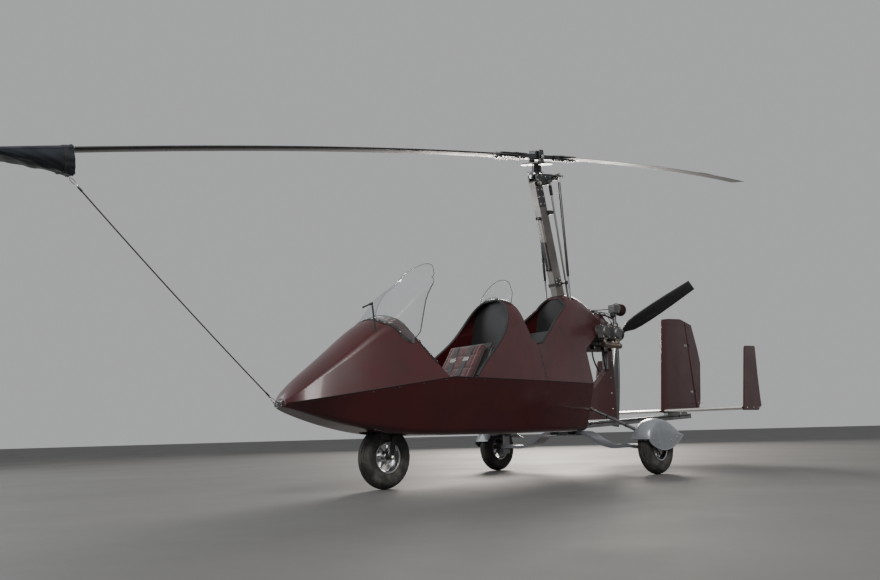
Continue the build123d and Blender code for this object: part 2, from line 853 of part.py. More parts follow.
with BuildPart() as carburettors:
    for side in (-1, 1):
        x = side * 238
        add(rod((x, 680, 1226 + seat_gap), (x, 680, 1390), 17))
        add(block((x - 30, 640, 1350), (x + 30, 716, 1420)))
        add(rod((x, 710, 1388), (x, 800, 1388), 50))
write(carburettors, "carburettors")

with BuildPart() as exhaust:
    for side in (-1, 1):
        for y in cylinder_rows:
            add(rod((side * 238, y, 1114 - seat_gap), (side * 238, y, 1060), 19))
        add(rod((side * 238, 480, 1060), (side * 238, 740, 1060), 24))
write(exhaust, "exhaust")

# Pusher propeller with three blades
with BuildPart() as prop_hub:
    add(rod((0, 905, prop_height), (0, 1062, prop_height), 25))
    add(rod((0, 1062, prop_height), (0, 1112, prop_height), prop_hub_radius))
    with BuildSketch(Plane.XZ.offset(-1112)):
        with Locations((0, prop_height)):
            Circle(54)
    extrude(amount=-74, taper=32)
write(prop_hub, "prop_hub")

# Radius, chord, thickness and angle of the blade's sections
prop_sections = [
    (prop_hub_radius + seat_gap, 42, 34, 40),
    (170, 104, 24, 38),
    (480, 122, 15, 25),
    (prop_radius - 40, 84, 8, 16),
    (prop_radius, 44, 6, 14),
]


def prop_section(out, tangent, radius, chord, thickness, angle):
    """Oval section of a propeller blade, turned by its blade angle."""
    chord_line = tangent * cos(radians(angle)) - Vector(0, 1, 0) * sin(radians(angle))
    place = Plane(origin=Vector(0, prop_y, prop_height) + out * radius, x_dir=chord_line, z_dir=out)
    with BuildSketch(place) as section:
        Ellipse(chord / 2, thickness / 2)
    return section.sketch


with BuildPart() as prop_blades:
    for number in range(3):
        turn = radians(prop_start_angle + 120 * number)
        out = Vector(cos(turn), 0, sin(turn))
        tangent = Vector(-sin(turn), 0, cos(turn))
        loft(sections=[prop_section(out, tangent, *sizes) for sizes in prop_sections])
write(prop_blades, "prop_blades")


def foil_section(plane, front, back, thickness, tail=4.0):
    """Symmetric section from a leading to a trailing edge; sketch y runs aft."""
    chord = back - front
    side = [(0.5, 0.04), (0.92, 0.16), (1.0, 0.34), (0.78, 0.62), (0.36, 0.88)]
    with BuildSketch(plane) as section:
        with BuildLine():
            near = [(thickness / 2 * w, front + chord * c) for w, c in side]
            far = [(-x, y) for x, y in near]
            Spline((tail / 2, back), *near[::-1], (0, front), *far, (-tail / 2, back))
            Line((-tail / 2, back), (tail / 2, back))
        make_face()
    return section.sketch


# Tail: stabiliser on the boom, end fins, fin with a hinged rudder
tip_plane = Plane(origin=(-stab_half_span, 0, stab_height), x_dir=(0, 0, -1), z_dir=(1, 0, 0))
with BuildPart() as stabiliser:
    extrude(
        foil_section(tip_plane, stab_front_y, stab_front_y + stab_chord, stab_thickness),
        amount=2 * stab_half_span,
    )
write(stabiliser, "stabiliser")

end_fin_outline = [
    (1798, 480),
    (1950, 1060),
    (1972, 1082),
    (2160, 1092),
    (2174, 1080),
    (2168, 812),
    (2174, 575),
    (2182, 528),
    (2102, 481),
]
with BuildPart() as end_fins:
    for side in (-1, 1):
        with BuildSketch(Plane.YZ.offset(side * (stab_half_span + seat_gap))):
            with BuildLine():
                Polyline(*end_fin_outline, close=True)
            make_face()
        extrude(amount=side * end_fin_thickness)
write(end_fins, "end_fins")

hinge_low = Vector(0, 2508, 555)
hinge_high = Vector(0, 2408, 1398)
hinge_line = (hinge_high - hinge_low).normalized()
hinge_plane = Plane(origin=hinge_low, x_dir=(1, 0, 0), z_dir=hinge_line)
hinge_pin = 4.0
hinge_notches = (150, 640)
rudder_nose = 20.0
fin_top = [(2050, 1452), (2291, 1469), (2547, 1426), (2654, 1164)]
tail_outline = [(1775, 504), (1928, 1410), (1960, 1440)] + fin_top + [(2694, 1024), (2612, 622), (2544, 505)]
with BuildPart() as tail_form:
    loft(
        sections=[
            foil_section(Plane.XY.offset(400), 1757, 2700, fin_thickness),
            foil_section(Plane.XY.offset(1500), 1943, 2700, fin_thickness),
        ]
    )
tail_solid = tail_form.part & side_prism(tail_outline)


def hinge_side(distance):
    """Everything ahead of a line parallel to the rudder's hinge, at a distance aft of it."""
    aft = Vector(0, hinge_line.Z, -hinge_line.Y) * distance
    low = hinge_low + aft - hinge_line * 900
    high = hinge_low + aft + hinge_line * 1500
    return side_prism([(low.Y, low.Z), (high.Y, high.Z), (0, high.Z), (0, low.Z)])


def hinge_post(radius, start, end):
    """Round bar along the rudder's hinge."""
    first = hinge_low + hinge_line * start
    last = hinge_low + hinge_line * end
    return rod((0, first.Y, first.Z), (0, last.Y, last.Z), radius)


stab_space = extrude(
    foil_section(tip_plane, stab_front_y - 1, stab_front_y + stab_chord + 1, stab_thickness + 0.6),
    amount=2 * stab_half_span,
)
with BuildPart() as fin:
    add(tail_solid & hinge_side(-rudder_nose - moving_gap - 1))
    for start in hinge_notches:
        first = hinge_low + hinge_line * start
        add(block((-5, first.Y - 46, first.Z - 12), (5, first.Y, first.Z + 12)) & hinge_side(0))
        add(hinge_post(10, start - 10, start + 10))
        add(hinge_post(hinge_pin, start - 36, start + 36))
    add(stab_space, mode=Mode.SUBTRACT)
fin_solid = Part() + fin.part.solids().sort_by(SortBy.VOLUME)[-1]
fin_solid.label = "fin"
export_step(fin_solid, "parts/fin.step")

with BuildPart() as rudder:
    add(tail_solid - hinge_side(0))
    add(hinge_post(rudder_nose, -60, 920) & side_prism(tail_outline))
    for start in hinge_notches:
        add(hinge_post(rudder_nose + 7, start - 18, start + 18), mode=Mode.SUBTRACT)
        add(hinge_post(hinge_pin + running_gap, start - 42, start + 42), mode=Mode.SUBTRACT)
write(rudder, "rudder")

with BuildPart() as tail_mount:
    add(block((-22, 1860, 400), (22, 2120, 520)))
    add(block((-5, 2186, 400), (5, 2300, 504 - seat_gap)))
    boom_top = [(y, keel_at(y) + keel_size / 2 + seat_gap) for y in (1700, 2500)]
    add(side_prism(boom_top + [(2500, 300), (1700, 300)]), mode=Mode.SUBTRACT)
    add(stab_space, mode=Mode.SUBTRACT)
    add(side_prism([(1700, stab_height), (2170, stab_height), (2170, 600), (1700, 600)]), mode=Mode.SUBTRACT)
write(tail_mount, "tail_mount")

# Rotor head: gimbal on the pitch bolt, with the control bar at its aft end
with BuildPart() as gimbal:
    for side in (-1, 1):
        with BuildSketch(side_plane(gimbal_plane, x=side * 35.5)):
            with BuildLine():
                FilletPolyline(
                    (-34, -20), (-34, 86), (60, 86), (200, 84), (300, 70), (310, 40), (200, 26), (60, -20), close=True,
                    radius=9,
                )
            make_face()
            Circle(pitch_bolt_radius + running_gap, mode=Mode.SUBTRACT)
            with Locations((110, 52), (236, 54)):
                Circle(17, mode=Mode.SUBTRACT)
        extrude(amount=side * 10)
    with BuildSketch(side_plane(gimbal_plane, x=-35.5)):
        with Locations((0, 70.5)):
            Rectangle(52, 31)
    extrude(amount=71)
    with BuildSketch(side_plane(gimbal_plane, x=-140)):
        with Locations((rod_bar_y, rod_bar_z)):
            Circle(8)
    extrude(amount=280)
    with BuildSketch(side_plane(gimbal_plane, x=-95)):
        with Locations((290, 56)):
            Circle(9)
    extrude(amount=190)
    with BuildSketch(side_plane(gimbal_plane, x=36)):
        with Locations((shaft_pin_y, 8)):
            Rectangle(26, 40)
        with Locations((shaft_pin_y, shaft_pin_z)):
            Circle(6)
    extrude(amount=9.5)
    with BuildSketch(side_plane(gimbal_plane, x=40)):
        with Locations((shaft_pin_y, shaft_pin_z)):
            Circle(6)
    extrude(amount=38)
    with BuildSketch(cross_plane(gimbal_plane, y=50)):
        with Locations((0, roll_axis_rise)):
            Circle(roll_bolt_radius)
    extrude(amount=100)
write(gimbal, "gimbal")

rod_pin = gimbal_plane.from_local_coords((0, rod_bar_y, rod_bar_z))
with BuildPart() as push_rods:
    for side in (-1, 1):
        x = side * rod_x
        add(rod((x, rod_pin.Y, rod_pin.Z - 13), (x, rod_foot_y, rod_foot_z), rod_radius))
        add(rod((x - 10, rod_pin.Y, rod_pin.Z), (x + 10, rod_pin.Y, rod_pin.Z), 17))
    add(rod((-200, rod_pin.Y, rod_pin.Z), (200, rod_pin.Y, rod_pin.Z), 8 + running_gap), mode=Mode.SUBTRACT)
write(push_rods, "push_rods")

shaft_pin = gimbal_plane.from_local_coords((shaft_x, shaft_pin_y, shaft_pin_z))
with BuildPart() as drive_shaft:
    add(rod((shaft_x, shaft_pin.Y, shaft_pin.Z), (shaft_x, shaft_foot_y, shaft_foot_z), shaft_radius))
    add(rod((shaft_x - 10, shaft_pin.Y, shaft_pin.Z), (shaft_x + 10, shaft_pin.Y, shaft_pin.Z), 15))
    add(
        rod((0, shaft_pin.Y, shaft_pin.Z), (200, shaft_pin.Y, shaft_pin.Z), 6 + running_gap),
        mode=Mode.SUBTRACT,
    )
write(drive_shaft, "drive_shaft")

with BuildPart() as bearing_head:
    for start in (-44, 32):
        with BuildSketch(cross_plane(roll_plane, y=start)):
            with BuildLine():
                FilletPolyline((-20, 40), (-20, -16), (20, -16), (20, 40), close=True, radius=8)
            make_face()
            Circle(roll_bolt_radius + running_gap, mode=Mode.SUBTRACT)
        extrude(amount=-12)
    with BuildSketch(roll_plane.offset(32)):
        with Locations((0, 16)):
            RectangleRounded(90, 132, 14)
    extrude(amount=12)
    with BuildSketch(spin_plane.offset(44)):
        Circle(42)
    extrude(amount=56)
    with BuildSketch(spin_plane.offset(60)):
        Circle(20 + running_gap)
    extrude(amount=60, mode=Mode.SUBTRACT)
write(bearing_head, "bearing_head")

with BuildPart() as ring_gear:
    with BuildSketch(spin_plane.offset(66)):
        Circle(20)
    extrude(amount=40)
    with BuildSketch(spin_plane.offset(106)):
        Circle(137)
        with PolarLocations(92, 6):
            Circle(22, mode=Mode.SUBTRACT)
    extrude(amount=8)
write(ring_gear, "ring_gear")

with BuildPart() as teeter_tower:
    with BuildSketch(spin_plane.offset(114 + seat_gap)):
        RectangleRounded(118, 84, 10)
    extrude(amount=12)
    for side in (-1, 1):
        with BuildSketch(side_plane(spin_plane, x=side * 45.5)):
            with BuildLine():
                FilletPolyline((-40, 116), (-26, 232), (26, 232), (40, 116), close=True, radius=9)
            make_face()
        extrude(amount=side * 11.5)
    with BuildSketch(side_plane(spin_plane, x=-64)):
        with Locations((0, hub_rise)):
            Circle(teeter_bolt_radius)
    extrude(amount=128)
write(teeter_tower, "teeter_tower")


def span_plane(front, radius):
    """Plane across a blade: sketch x towards its leading edge, sketch y up, normal outboard."""
    sign = -1 if front else 1
    out = hub_plane.y_dir * sign
    lead = hub_plane.x_dir * -sign
    tilt = radians(blade_pitch)
    lead = lead * cos(tilt) + hub_plane.z_dir * sin(tilt)
    return Plane(origin=hub_plane.from_local_coords((0, sign * radius, 0)), x_dir=lead, z_dir=out)


def span_up(front):
    """Up direction of a blade's section plane."""
    return span_plane(front, 0).y_dir


grip_plate = 8.0
grip_low = blade_thickness / 2 + seat_gap
with BuildPart() as hub_bar:
    for front in (True, False):
        with BuildSketch(span_plane(front, 0)):
            Rectangle(hub_bar_width, hub_bar_height)
        extrude(amount=240)
        for sign in (-1, 1):
            with BuildSketch(span_plane(front, 200)):
                with Locations((0, sign * (grip_low + grip_plate / 2))):
                    Rectangle(grip_width, grip_plate)
            extrude(amount=hub_bar_half - 200)
    with BuildSketch(side_plane(hub_plane, x=-60)):
        Circle(teeter_bolt_radius + running_gap)
    extrude(amount=120, mode=Mode.SUBTRACT)
write(hub_bar, "hub_bar")

blade_nose = 60.0


def blade_solid(front, droop):
    """Blade that droops along an arc: its section revolved about a far axis below the rotor."""
    length = rotor_radius - blade_root
    bend = length / radians(droop)
    place = span_plane(front, blade_root)
    with BuildPart() as blade:
        with BuildSketch(place):
            with BuildLine():
                half = blade_thickness / 2
                EllipticalCenterArc((0, 0), blade_nose, half, start_angle=-90, arc_size=180)
                Polyline((0, half), (blade_nose - blade_chord, 1), (blade_nose - blade_chord, -1), (0, -half))
            make_face()
        turn_axis = Axis(place.origin - place.y_dir * bend, place.x_dir)
        revolve(axis=turn_axis, revolution_arc=droop)
    return blade


for front, droop, blade_name in ((True, front_droop, "blade_front"), (False, rear_droop, "blade_rear")):
    write(blade_solid(front, droop), blade_name)

# Cover over the front blade's tip: a fabric pocket, deeper at its mouth
cover_mouth = 3850.0
cover_sheet = 2.0
with BuildPart() as tip_cover:
    length = rotor_radius - blade_root
    bend = length / radians(front_droop)
    root = span_plane(True, blade_root)

    def cover_section(radius, above, below, grow):
        """Section of the pocket across the drooping blade."""
        angle = (radius - blade_root) / bend
        centre = root.origin - root.y_dir * bend
        up = root.y_dir * cos(angle) + root.z_dir * sin(angle)
        out = root.z_dir * cos(angle) - root.y_dir * sin(angle)
        place = Plane(origin=centre + up * bend, x_dir=root.x_dir, z_dir=out)
        with BuildSketch(place) as section:
            with Locations((blade_nose - blade_chord / 2, (above - below) / 2)):
                RectangleRounded(blade_chord + 2 * grow, above + below, min(12, (above + below) / 2 - 1))
        return section.sketch

    loft(sections=[cover_section(cover_mouth, 17, 132, 8), cover_section(rotor_radius + 8, 15, 17, 8)])
    loft(
        sections=[cover_section(cover_mouth - 5, 15, 132, 6), cover_section(rotor_radius + 6, 13, 15, 6)],
        mode=Mode.SUBTRACT,
    )
write(tip_cover, "tip_cover")

# Controls in the cockpits
with BuildPart() as control_sticks:
    for y, foot in ((-1640, well_roof + wall + seat_gap), (-880, keel_height + keel_size / 2 + seat_gap)):
        add(rod((0, y, foot), (0, y, foot + 34), 24))
        add(rod((0, y, foot + 20), (0, y + 24, 700), 11))
        with Locations((0, y + 24, 700)):
            Sphere(12)
        add(rod((0, y + 24, 700), (0, y + 130, 880), 11))
        add(rod((0, y + 118, 860), (0, y + 190, 980), 19))
write(control_sticks, "control_sticks")

with BuildPart() as pedals:
    for x in (-95, 95):
        add(rod((x, -2040, 300), (x, -2060, 560), 8) & tub_fit)
        add(block((x - 38, -2066, 500), (x + 38, -2052, 600)))
write(pedals, "pedals")
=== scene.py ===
"""Looks of an open tandem gyroplane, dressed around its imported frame, in metres."""

import json
import logging
import math
from dataclasses import dataclass, field
from enum import Enum
from itertools import product
from typing import Callable, Sequence

import bmesh
import bpy
from mathutils import Matrix, Vector
from mathutils.bvhtree import BVHTree


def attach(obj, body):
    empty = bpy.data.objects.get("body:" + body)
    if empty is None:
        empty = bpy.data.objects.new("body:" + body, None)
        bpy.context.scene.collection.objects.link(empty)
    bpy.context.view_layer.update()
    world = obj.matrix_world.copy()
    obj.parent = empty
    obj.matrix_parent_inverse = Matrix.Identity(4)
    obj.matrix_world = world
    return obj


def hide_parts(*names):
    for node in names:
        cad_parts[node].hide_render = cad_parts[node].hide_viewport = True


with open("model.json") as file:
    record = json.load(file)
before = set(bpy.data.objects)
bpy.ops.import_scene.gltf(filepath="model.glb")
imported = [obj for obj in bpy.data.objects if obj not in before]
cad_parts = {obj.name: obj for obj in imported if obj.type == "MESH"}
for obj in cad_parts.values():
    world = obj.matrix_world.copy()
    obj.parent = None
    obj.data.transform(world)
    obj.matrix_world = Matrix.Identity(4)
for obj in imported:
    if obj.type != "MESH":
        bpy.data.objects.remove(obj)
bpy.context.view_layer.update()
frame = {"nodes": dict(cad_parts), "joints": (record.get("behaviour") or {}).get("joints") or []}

log = logging.getLogger("gyroplane")

Colour = tuple[float, float, float]
Point = Sequence[float]
Profile = Sequence[tuple[float, float]]

X_AXIS = Vector((1, 0, 0))
Y_AXIS = Vector((0, 1, 0))
Z_AXIS = Vector((0, 0, 1))
SIDES = (-1, 1)
DUST_COLOUR = (0.36, 0.33, 0.29)


class Rig(Enum):
    """Bodies that pieces ride on."""

    AIRFRAME = "airframe"
    NOSE_LEG = "nose_leg"
    NOSE_WHEEL = "nose_wheel"
    LEFT_WHEEL = "left_wheel"
    RIGHT_WHEEL = "right_wheel"
    RUDDER = "rudder"
    PROPELLER = "propeller"
    HEAD = "head"
    RODS = "rods"
    SHAFT = "shaft"
    ROLL_HEAD = "roll_head"
    SPINNER = "spinner"
    ROTOR = "rotor"


class Pattern(Enum):
    """Kinds of fine relief that a finish can carry."""

    SMOOTH = "smooth"
    BRUSHED = "brushed"
    CAST = "cast"
    RUBBER = "rubber"
    WEAVE = "weave"
    TWILL = "twill"


Socket = bpy.types.NodeSocket


class Graph:
    """Nodes of one new material."""

    def __init__(self, name: str) -> None:
        """Start a material with that name."""
        self.made = bpy.data.materials.new(name)
        self.made.use_nodes = True
        self.tree = self.made.node_tree
        self.spot = self.add("TexCoord", {}).outputs["Object"]

    def fill(self, node: bpy.types.Node, inputs: dict) -> None:
        """Link or set a node's inputs, each by its name or number."""
        for name, value in inputs.items():
            if isinstance(value, Socket):
                self.tree.links.new(value, node.inputs[name])
            else:
                node.inputs[name].default_value = value

    def add(self, kind: str, inputs: dict, **settings: str | int) -> bpy.types.Node:
        """Add a node of a kind, set its properties and fill its inputs."""
        node = self.tree.nodes.new("ShaderNode" + kind)
        for name, value in settings.items():
            setattr(node, name, value)
        self.fill(node, inputs)
        return node

    def noise(self, scale: float, detail: float, rough: float = 0.5, spot: Socket | None = None) -> Socket:
        """Cloudy noise over the surface, or over other coordinates."""
        inputs = {"Vector": spot or self.spot, "Scale": scale, "Detail": detail, "Roughness": rough}
        return self.add("TexNoise", inputs).outputs["Fac"]

    def ramp(self, value: Socket, start: float, end: float, low: float = 0.0, high: float = 1.0) -> Socket:
        """Carry a value from the range start to end over to the range low to high."""
        inputs = {"Value": value, "From Min": start, "From Max": end, "To Min": low, "To Max": high}
        return self.add("MapRange", inputs).outputs[0]

    def product(self, one: Socket, two: Socket) -> Socket:
        """Multiply two values."""
        return self.add("Math", {0: one, 1: two}, operation="MULTIPLY").outputs[0]

    def blend(self, share: Socket | float, one: Socket | Colour, two: Socket | Colour,
              kind: str = "MIX") -> Socket:
        """Mix the second colour over the first by a share."""
        pair = [(*tone, 1) if isinstance(tone, tuple) else tone for tone in (one, two)]
        return self.add("Mix", {0: share, 6: pair[0], 7: pair[1]}, data_type="RGBA",
                        blend_type=kind).outputs[2]

    def finish(self, inputs: dict) -> bpy.types.Material:
        """Fill the surface shader's inputs and hand over the material."""
        self.fill(self.tree.nodes["Principled BSDF"], inputs)
        return self.made


@dataclass(frozen=True)
class Finish:
    """One procedural finish: two tones, a roughness range, fine relief and worn edges.

    Attributes:
        name: plain name of the material.
        slot: name of a material slot of the record; not used.
        base: main colour.
        other: colour that shows in soft patches.
        pattern: kind of fine relief.
        roughness: lowest and highest roughness over the surface.
        metallic: share of metal.
        patch: patches in a metre.
        grain: grains of the relief in a metre.
        stretch: how the grain is drawn out along each axis.
        relief: strength of the relief.
        coat: clear coat over it.
        sheen: cloth sheen.
        worn: colour of worn edges, or None.
        edge: radius that sharp edges appear rounded to.
        dust: share of pale dust that lies on it.
    """

    name: str
    slot: str
    base: Colour
    other: Colour
    pattern: Pattern = Pattern.SMOOTH
    roughness: tuple[float, float] = (0.35, 0.5)
    metallic: float = 0.0
    patch: float = 5.0
    grain: float = 400.0
    stretch: tuple[float, float, float] = (1.0, 1.0, 1.0)
    relief: float = 0.1
    coat: float = 0.0
    sheen: float = 0.0
    worn: Colour | None = None
    edge: float = 0.0012
    dust: float = 0.0

    def height(self, graph: Graph) -> Socket:
        """Height of the finish's fine relief."""
        spot = graph.add("Mapping", {"Vector": graph.spot, "Scale": self.stretch}).outputs[0]
        inputs = {"Vector": spot, "Scale": self.grain}
        if self.pattern is Pattern.CAST:
            return graph.add("TexVoronoi", inputs).outputs["Distance"]
        if self.pattern not in (Pattern.WEAVE, Pattern.TWILL):
            return graph.noise(self.grain, 3.0, 0.6, spot)
        waves = inputs | {"Distortion": 0.6, "Detail": 1.0}
        if self.pattern is Pattern.TWILL:
            return graph.add("TexWave", waves, bands_direction="DIAGONAL").outputs["Fac"]
        bands = [graph.add("TexWave", waves, bands_direction=axis).outputs["Fac"] for axis in "XZY"]
        return graph.product(graph.product(bands[0], bands[1]), bands[2])

    def wear(self, graph: Graph, colour: Socket, soft: Socket) -> Socket:
        """Rub the colour off where the rounded normal leaves the flat one."""
        flat = graph.add("NewGeometry", {}).outputs["Normal"]
        turn = graph.add("VectorMath", {0: soft, 1: flat}, operation="DOT_PRODUCT").outputs["Value"]
        rub = graph.ramp(graph.noise(60.0, 4.0), 0.42, 0.6)
        return graph.blend(graph.product(graph.ramp(turn, 0.99, 0.88), rub), colour, self.worn)

    def material(self) -> bpy.types.Material:
        """Build the finish's node material, once."""
        made = bpy.data.materials.get(self.name)
        if made:
            return made
        graph = Graph(self.name)
        patches = graph.noise(self.patch, 6.0, 0.62)
        colour = graph.blend(graph.ramp(patches, 0.35, 0.68), self.base, self.other)
        height = self.height(graph)
        if self.pattern in (Pattern.WEAVE, Pattern.TWILL, Pattern.BRUSHED):
            colour = graph.blend(1.0, colour, graph.ramp(height, 0.0, 1.0, 0.72, 1.12), "MULTIPLY")
        bump = {"Strength": self.relief, "Distance": 0.001, "Height": height}
        if self.edge:
            bump["Normal"] = graph.add("Bevel", {"Radius": self.edge}, samples=4).outputs[0]
            if self.worn:
                colour = self.wear(graph, colour, bump["Normal"])
        if self.dust:
            lies = graph.ramp(graph.noise(14.0, 8.0, 0.7), 0.45, 0.8, 0.0, self.dust)
            colour = graph.blend(lies, colour, DUST_COLOUR)
        return graph.finish({
            "Base Color": colour, "Roughness": graph.ramp(patches, 0.3, 0.7, *self.roughness),
            "Normal": graph.add("Bump", bump).outputs[0], "Metallic": self.metallic,
            "Coat Weight": self.coat, "Coat Roughness": 0.1, "Sheen Weight": self.sheen,
            "Sheen Roughness": 0.5,
        })


@dataclass(frozen=True)
class Glass:
    """A thin clear sheet, clearer face on than along its edges.

    Attributes:
        name: plain name of the material.
        slot: name of a material slot of the record; not used.
        tint: colour of the sheet.
        clear: how much it covers, face on and edge on.
    """

    name: str
    slot: str
    tint: Colour = (0.3, 0.33, 0.34)
    clear: tuple[float, float] = (0.05, 0.6)

    def material(self) -> bpy.types.Material:
        """Build the sheet's node material, once."""
        made = bpy.data.materials.get(self.name)
        if made:
            return made
        graph = Graph(self.name)
        facing = graph.add("LayerWeight", {"Blend": 0.35}).outputs["Facing"]
        return graph.finish({
            "Base Color": (*self.tint, 1), "IOR": 1.49, "Alpha": graph.ramp(facing, 0.0, 1.0, *self.clear),
            "Roughness": graph.ramp(graph.noise(9.0, 7.0), 0.4, 0.8, 0.03, 0.16),
        })

PAINT = Finish("maroon_gloss_paint", "body_paint", (0.05, 0.0045, 0.006), (0.036, 0.0032, 0.0046),
               roughness=(0.34, 0.44), grain=260.0, relief=0.03, coat=0.3, edge=0.003)
TAIL_PAINT = Finish("maroon_tail_paint", "tail_paint", (0.05, 0.0052, 0.006), (0.036, 0.004, 0.005),
                    roughness=(0.36, 0.46), grain=260.0, relief=0.03, coat=0.2, edge=0.003)
GUARD_PAINT = Finish("blue_grey_paint", "guard_paint", (0.2, 0.215, 0.235), (0.16, 0.175, 0.195),
                     roughness=(0.25, 0.4), grain=240.0, relief=0.03, coat=0.7, edge=0.003, dust=0.22)
# Pale trim for the stabiliser's leading edge: a painted highlight that stands for the rim light catching that
# glossy edge.
PAINTED_HIGHLIGHT_TRIM = Finish("pale_edge_trim_painted_highlight", "tail_light", (0.7, 0.69, 0.66), (0.62, 0.61, 0.58),
                    roughness=(0.22, 0.35), grain=240.0, relief=0.02, coat=0.8, edge=0.001)
MAST_METAL = Finish("brushed_mast_steel", "mast_metal", (0.3, 0.28, 0.26), (0.22, 0.205, 0.19),
                    Pattern.BRUSHED, (0.3, 0.45), 1.0, grain=30.0, stretch=(30.0, 30.0, 1.0), relief=0.05,
                    worn=(0.62, 0.6, 0.57), edge=0.003)
FRAME_METAL = Finish("satin_frame_steel", "frame_metal", (0.34, 0.34, 0.34), (0.24, 0.24, 0.245),
                     Pattern.BRUSHED, (0.28, 0.5), 1.0, grain=60.0, stretch=(12.0, 1.0, 12.0), relief=0.05,
                     worn=(0.6, 0.6, 0.6), edge=0.0015, dust=0.1)
BLADE_METAL = Finish("natural_blade_aluminium", "blade_metal", (0.2, 0.2, 0.205), (0.16, 0.162, 0.17),
                     Pattern.BRUSHED, (0.5, 0.65), 0.75, grain=900.0, stretch=(1.0, 0.08, 1.0), relief=0.05)
HEAD_METAL = Finish("anodised_head_metal", "head_metal", (0.1, 0.1, 0.105), (0.07, 0.07, 0.075),
                    Pattern.CAST,
                    (0.3, 0.45), 0.9, grain=1500.0, relief=0.06, worn=(0.5, 0.5, 0.5), edge=0.0015)
BRIGHT_METAL = Finish("plated_fastener_steel", "frame_metal", (0.62, 0.61, 0.58), (0.5, 0.49, 0.46),
                      roughness=(0.2, 0.35), metallic=1.0, grain=900.0, relief=0.03, edge=0.0004)
DARK_METAL = Finish("black_coated_metal", "dark_metal", (0.018, 0.018, 0.019), (0.026, 0.026, 0.027),
                    Pattern.CAST, (0.35, 0.55), 0.3, grain=1400.0, relief=0.08, worn=(0.3, 0.3, 0.3),
                    dust=0.1)
ENGINE_METAL = Finish("cast_engine_aluminium", "dark_metal", (0.19, 0.19, 0.19), (0.12, 0.12, 0.122),
                      Pattern.CAST, (0.42, 0.62), 0.85, grain=900.0, relief=0.25, worn=(0.45, 0.45, 0.45),
                      dust=0.12)
EXHAUST_METAL = Finish("heat_tinted_exhaust_steel", "frame_metal", (0.36, 0.29, 0.22), (0.2, 0.17, 0.17),
                       roughness=(0.28, 0.48), metallic=1.0, patch=14.0, grain=500.0, relief=0.05)
RIM_METAL = Finish("machined_rim_aluminium", "rim", (0.52, 0.52, 0.53), (0.42, 0.42, 0.43), Pattern.BRUSHED,
                   (0.25, 0.4), 1.0, grain=220.0, relief=0.04, worn=(0.7, 0.7, 0.7), dust=0.12)
CARBON = Finish("black_composite_gloss", "carbon", (0.012, 0.012, 0.013), (0.02, 0.02, 0.021), Pattern.TWILL,
                (0.22, 0.34), grain=110.0, relief=0.05, coat=0.8, edge=0.002)
BULKHEAD = Finish("black_bulkhead_composite", "carbon", (0.014, 0.014, 0.015), (0.02, 0.02, 0.021),
                  Pattern.CAST, roughness=(0.6, 0.75), grain=300.0, relief=0.1, edge=0.0)
PROP_LACQUER = Finish("black_propeller_lacquer", "carbon", (0.011, 0.011, 0.012), (0.019, 0.018, 0.018),
                      roughness=(0.3, 0.42), patch=7.0, grain=300.0, relief=0.04, coat=0.35,
                      worn=(0.2, 0.19, 0.18), edge=0.003)
BOW_COMPOSITE = Finish("grey_composite_leaf", "frame_metal", (0.13, 0.14, 0.16), (0.1, 0.108, 0.125),
                       Pattern.TWILL, (0.3, 0.45), grain=60.0, relief=0.08, coat=0.5, edge=0.003, dust=0.15)
TYRE = Finish("black_tyre_rubber", "tyre", (0.016, 0.0155, 0.015), (0.028, 0.027, 0.026), Pattern.RUBBER,
              (0.62, 0.85), grain=700.0, relief=0.25, dust=0.3)
RUBBER = Finish("black_trim_rubber", "tyre", (0.012, 0.012, 0.012), (0.02, 0.02, 0.02), Pattern.RUBBER,
                (0.5, 0.7), grain=900.0, relief=0.15)
SEAT_SHELL = Finish("black_seat_composite", "seat_shell", (0.016, 0.016, 0.017), (0.024, 0.024, 0.025),
                    Pattern.CAST, (0.4, 0.6), grain=800.0, relief=0.1, worn=(0.1, 0.1, 0.1), edge=0.002)
SEAT_CLOTH = Finish("dark_red_seat_cloth", "seat_cloth", (0.075, 0.012, 0.013), (0.05, 0.009, 0.01),
                    Pattern.WEAVE, (0.75, 0.92), patch=9.0, grain=130.0, relief=0.35, sheen=0.4, edge=0.0)
WEBBING = Finish("black_harness_webbing", "seat_cloth", (0.014, 0.014, 0.015), (0.022, 0.022, 0.024),
                 Pattern.WEAVE, (0.6, 0.8), grain=260.0, relief=0.4, sheen=0.25, edge=0.0)
COVER_CLOTH = Finish("navy_cover_cloth", "cover_cloth", (0.012, 0.018, 0.032), (0.008, 0.012, 0.022),
                     Pattern.WEAVE, (0.7, 0.9), patch=11.0, grain=160.0, relief=0.4, sheen=0.3, edge=0.0)
ROPE = Finish("dark_tie_rope", "cover_cloth", (0.03, 0.028, 0.025), (0.05, 0.046, 0.04), Pattern.TWILL,
              (0.7, 0.9), grain=120.0, relief=0.5, edge=0.0)
PANEL = Finish("black_panel_plastic", "panel", (0.013, 0.013, 0.014), (0.018, 0.018, 0.019), Pattern.CAST,
               (0.5, 0.65), grain=1600.0, relief=0.15, edge=0.001)
DIAL_MARKS = Finish("white_dial_marks", "lamp", (0.75, 0.75, 0.72), (0.66, 0.66, 0.63), roughness=(0.4, 0.5),
                    relief=0.01, edge=0.0)
RED_PLASTIC = Finish("red_control_plastic", "body_paint", (0.32, 0.014, 0.012), (0.26, 0.012, 0.01),
                     roughness=(0.3, 0.42), relief=0.02, edge=0.0005)
FILTER_CLOTH = Finish("oiled_filter_cloth", "filter", (0.09, 0.026, 0.02), (0.06, 0.018, 0.014),
                      Pattern.WEAVE, (0.55, 0.75), patch=30.0, grain=300.0, relief=0.5, edge=0.0)
LAMP_METAL = Finish("lamp_reflector", "lamp", (0.85, 0.85, 0.84), (0.78, 0.78, 0.77), roughness=(0.08, 0.14),
                    metallic=1.0, relief=0.01, edge=0.0005)
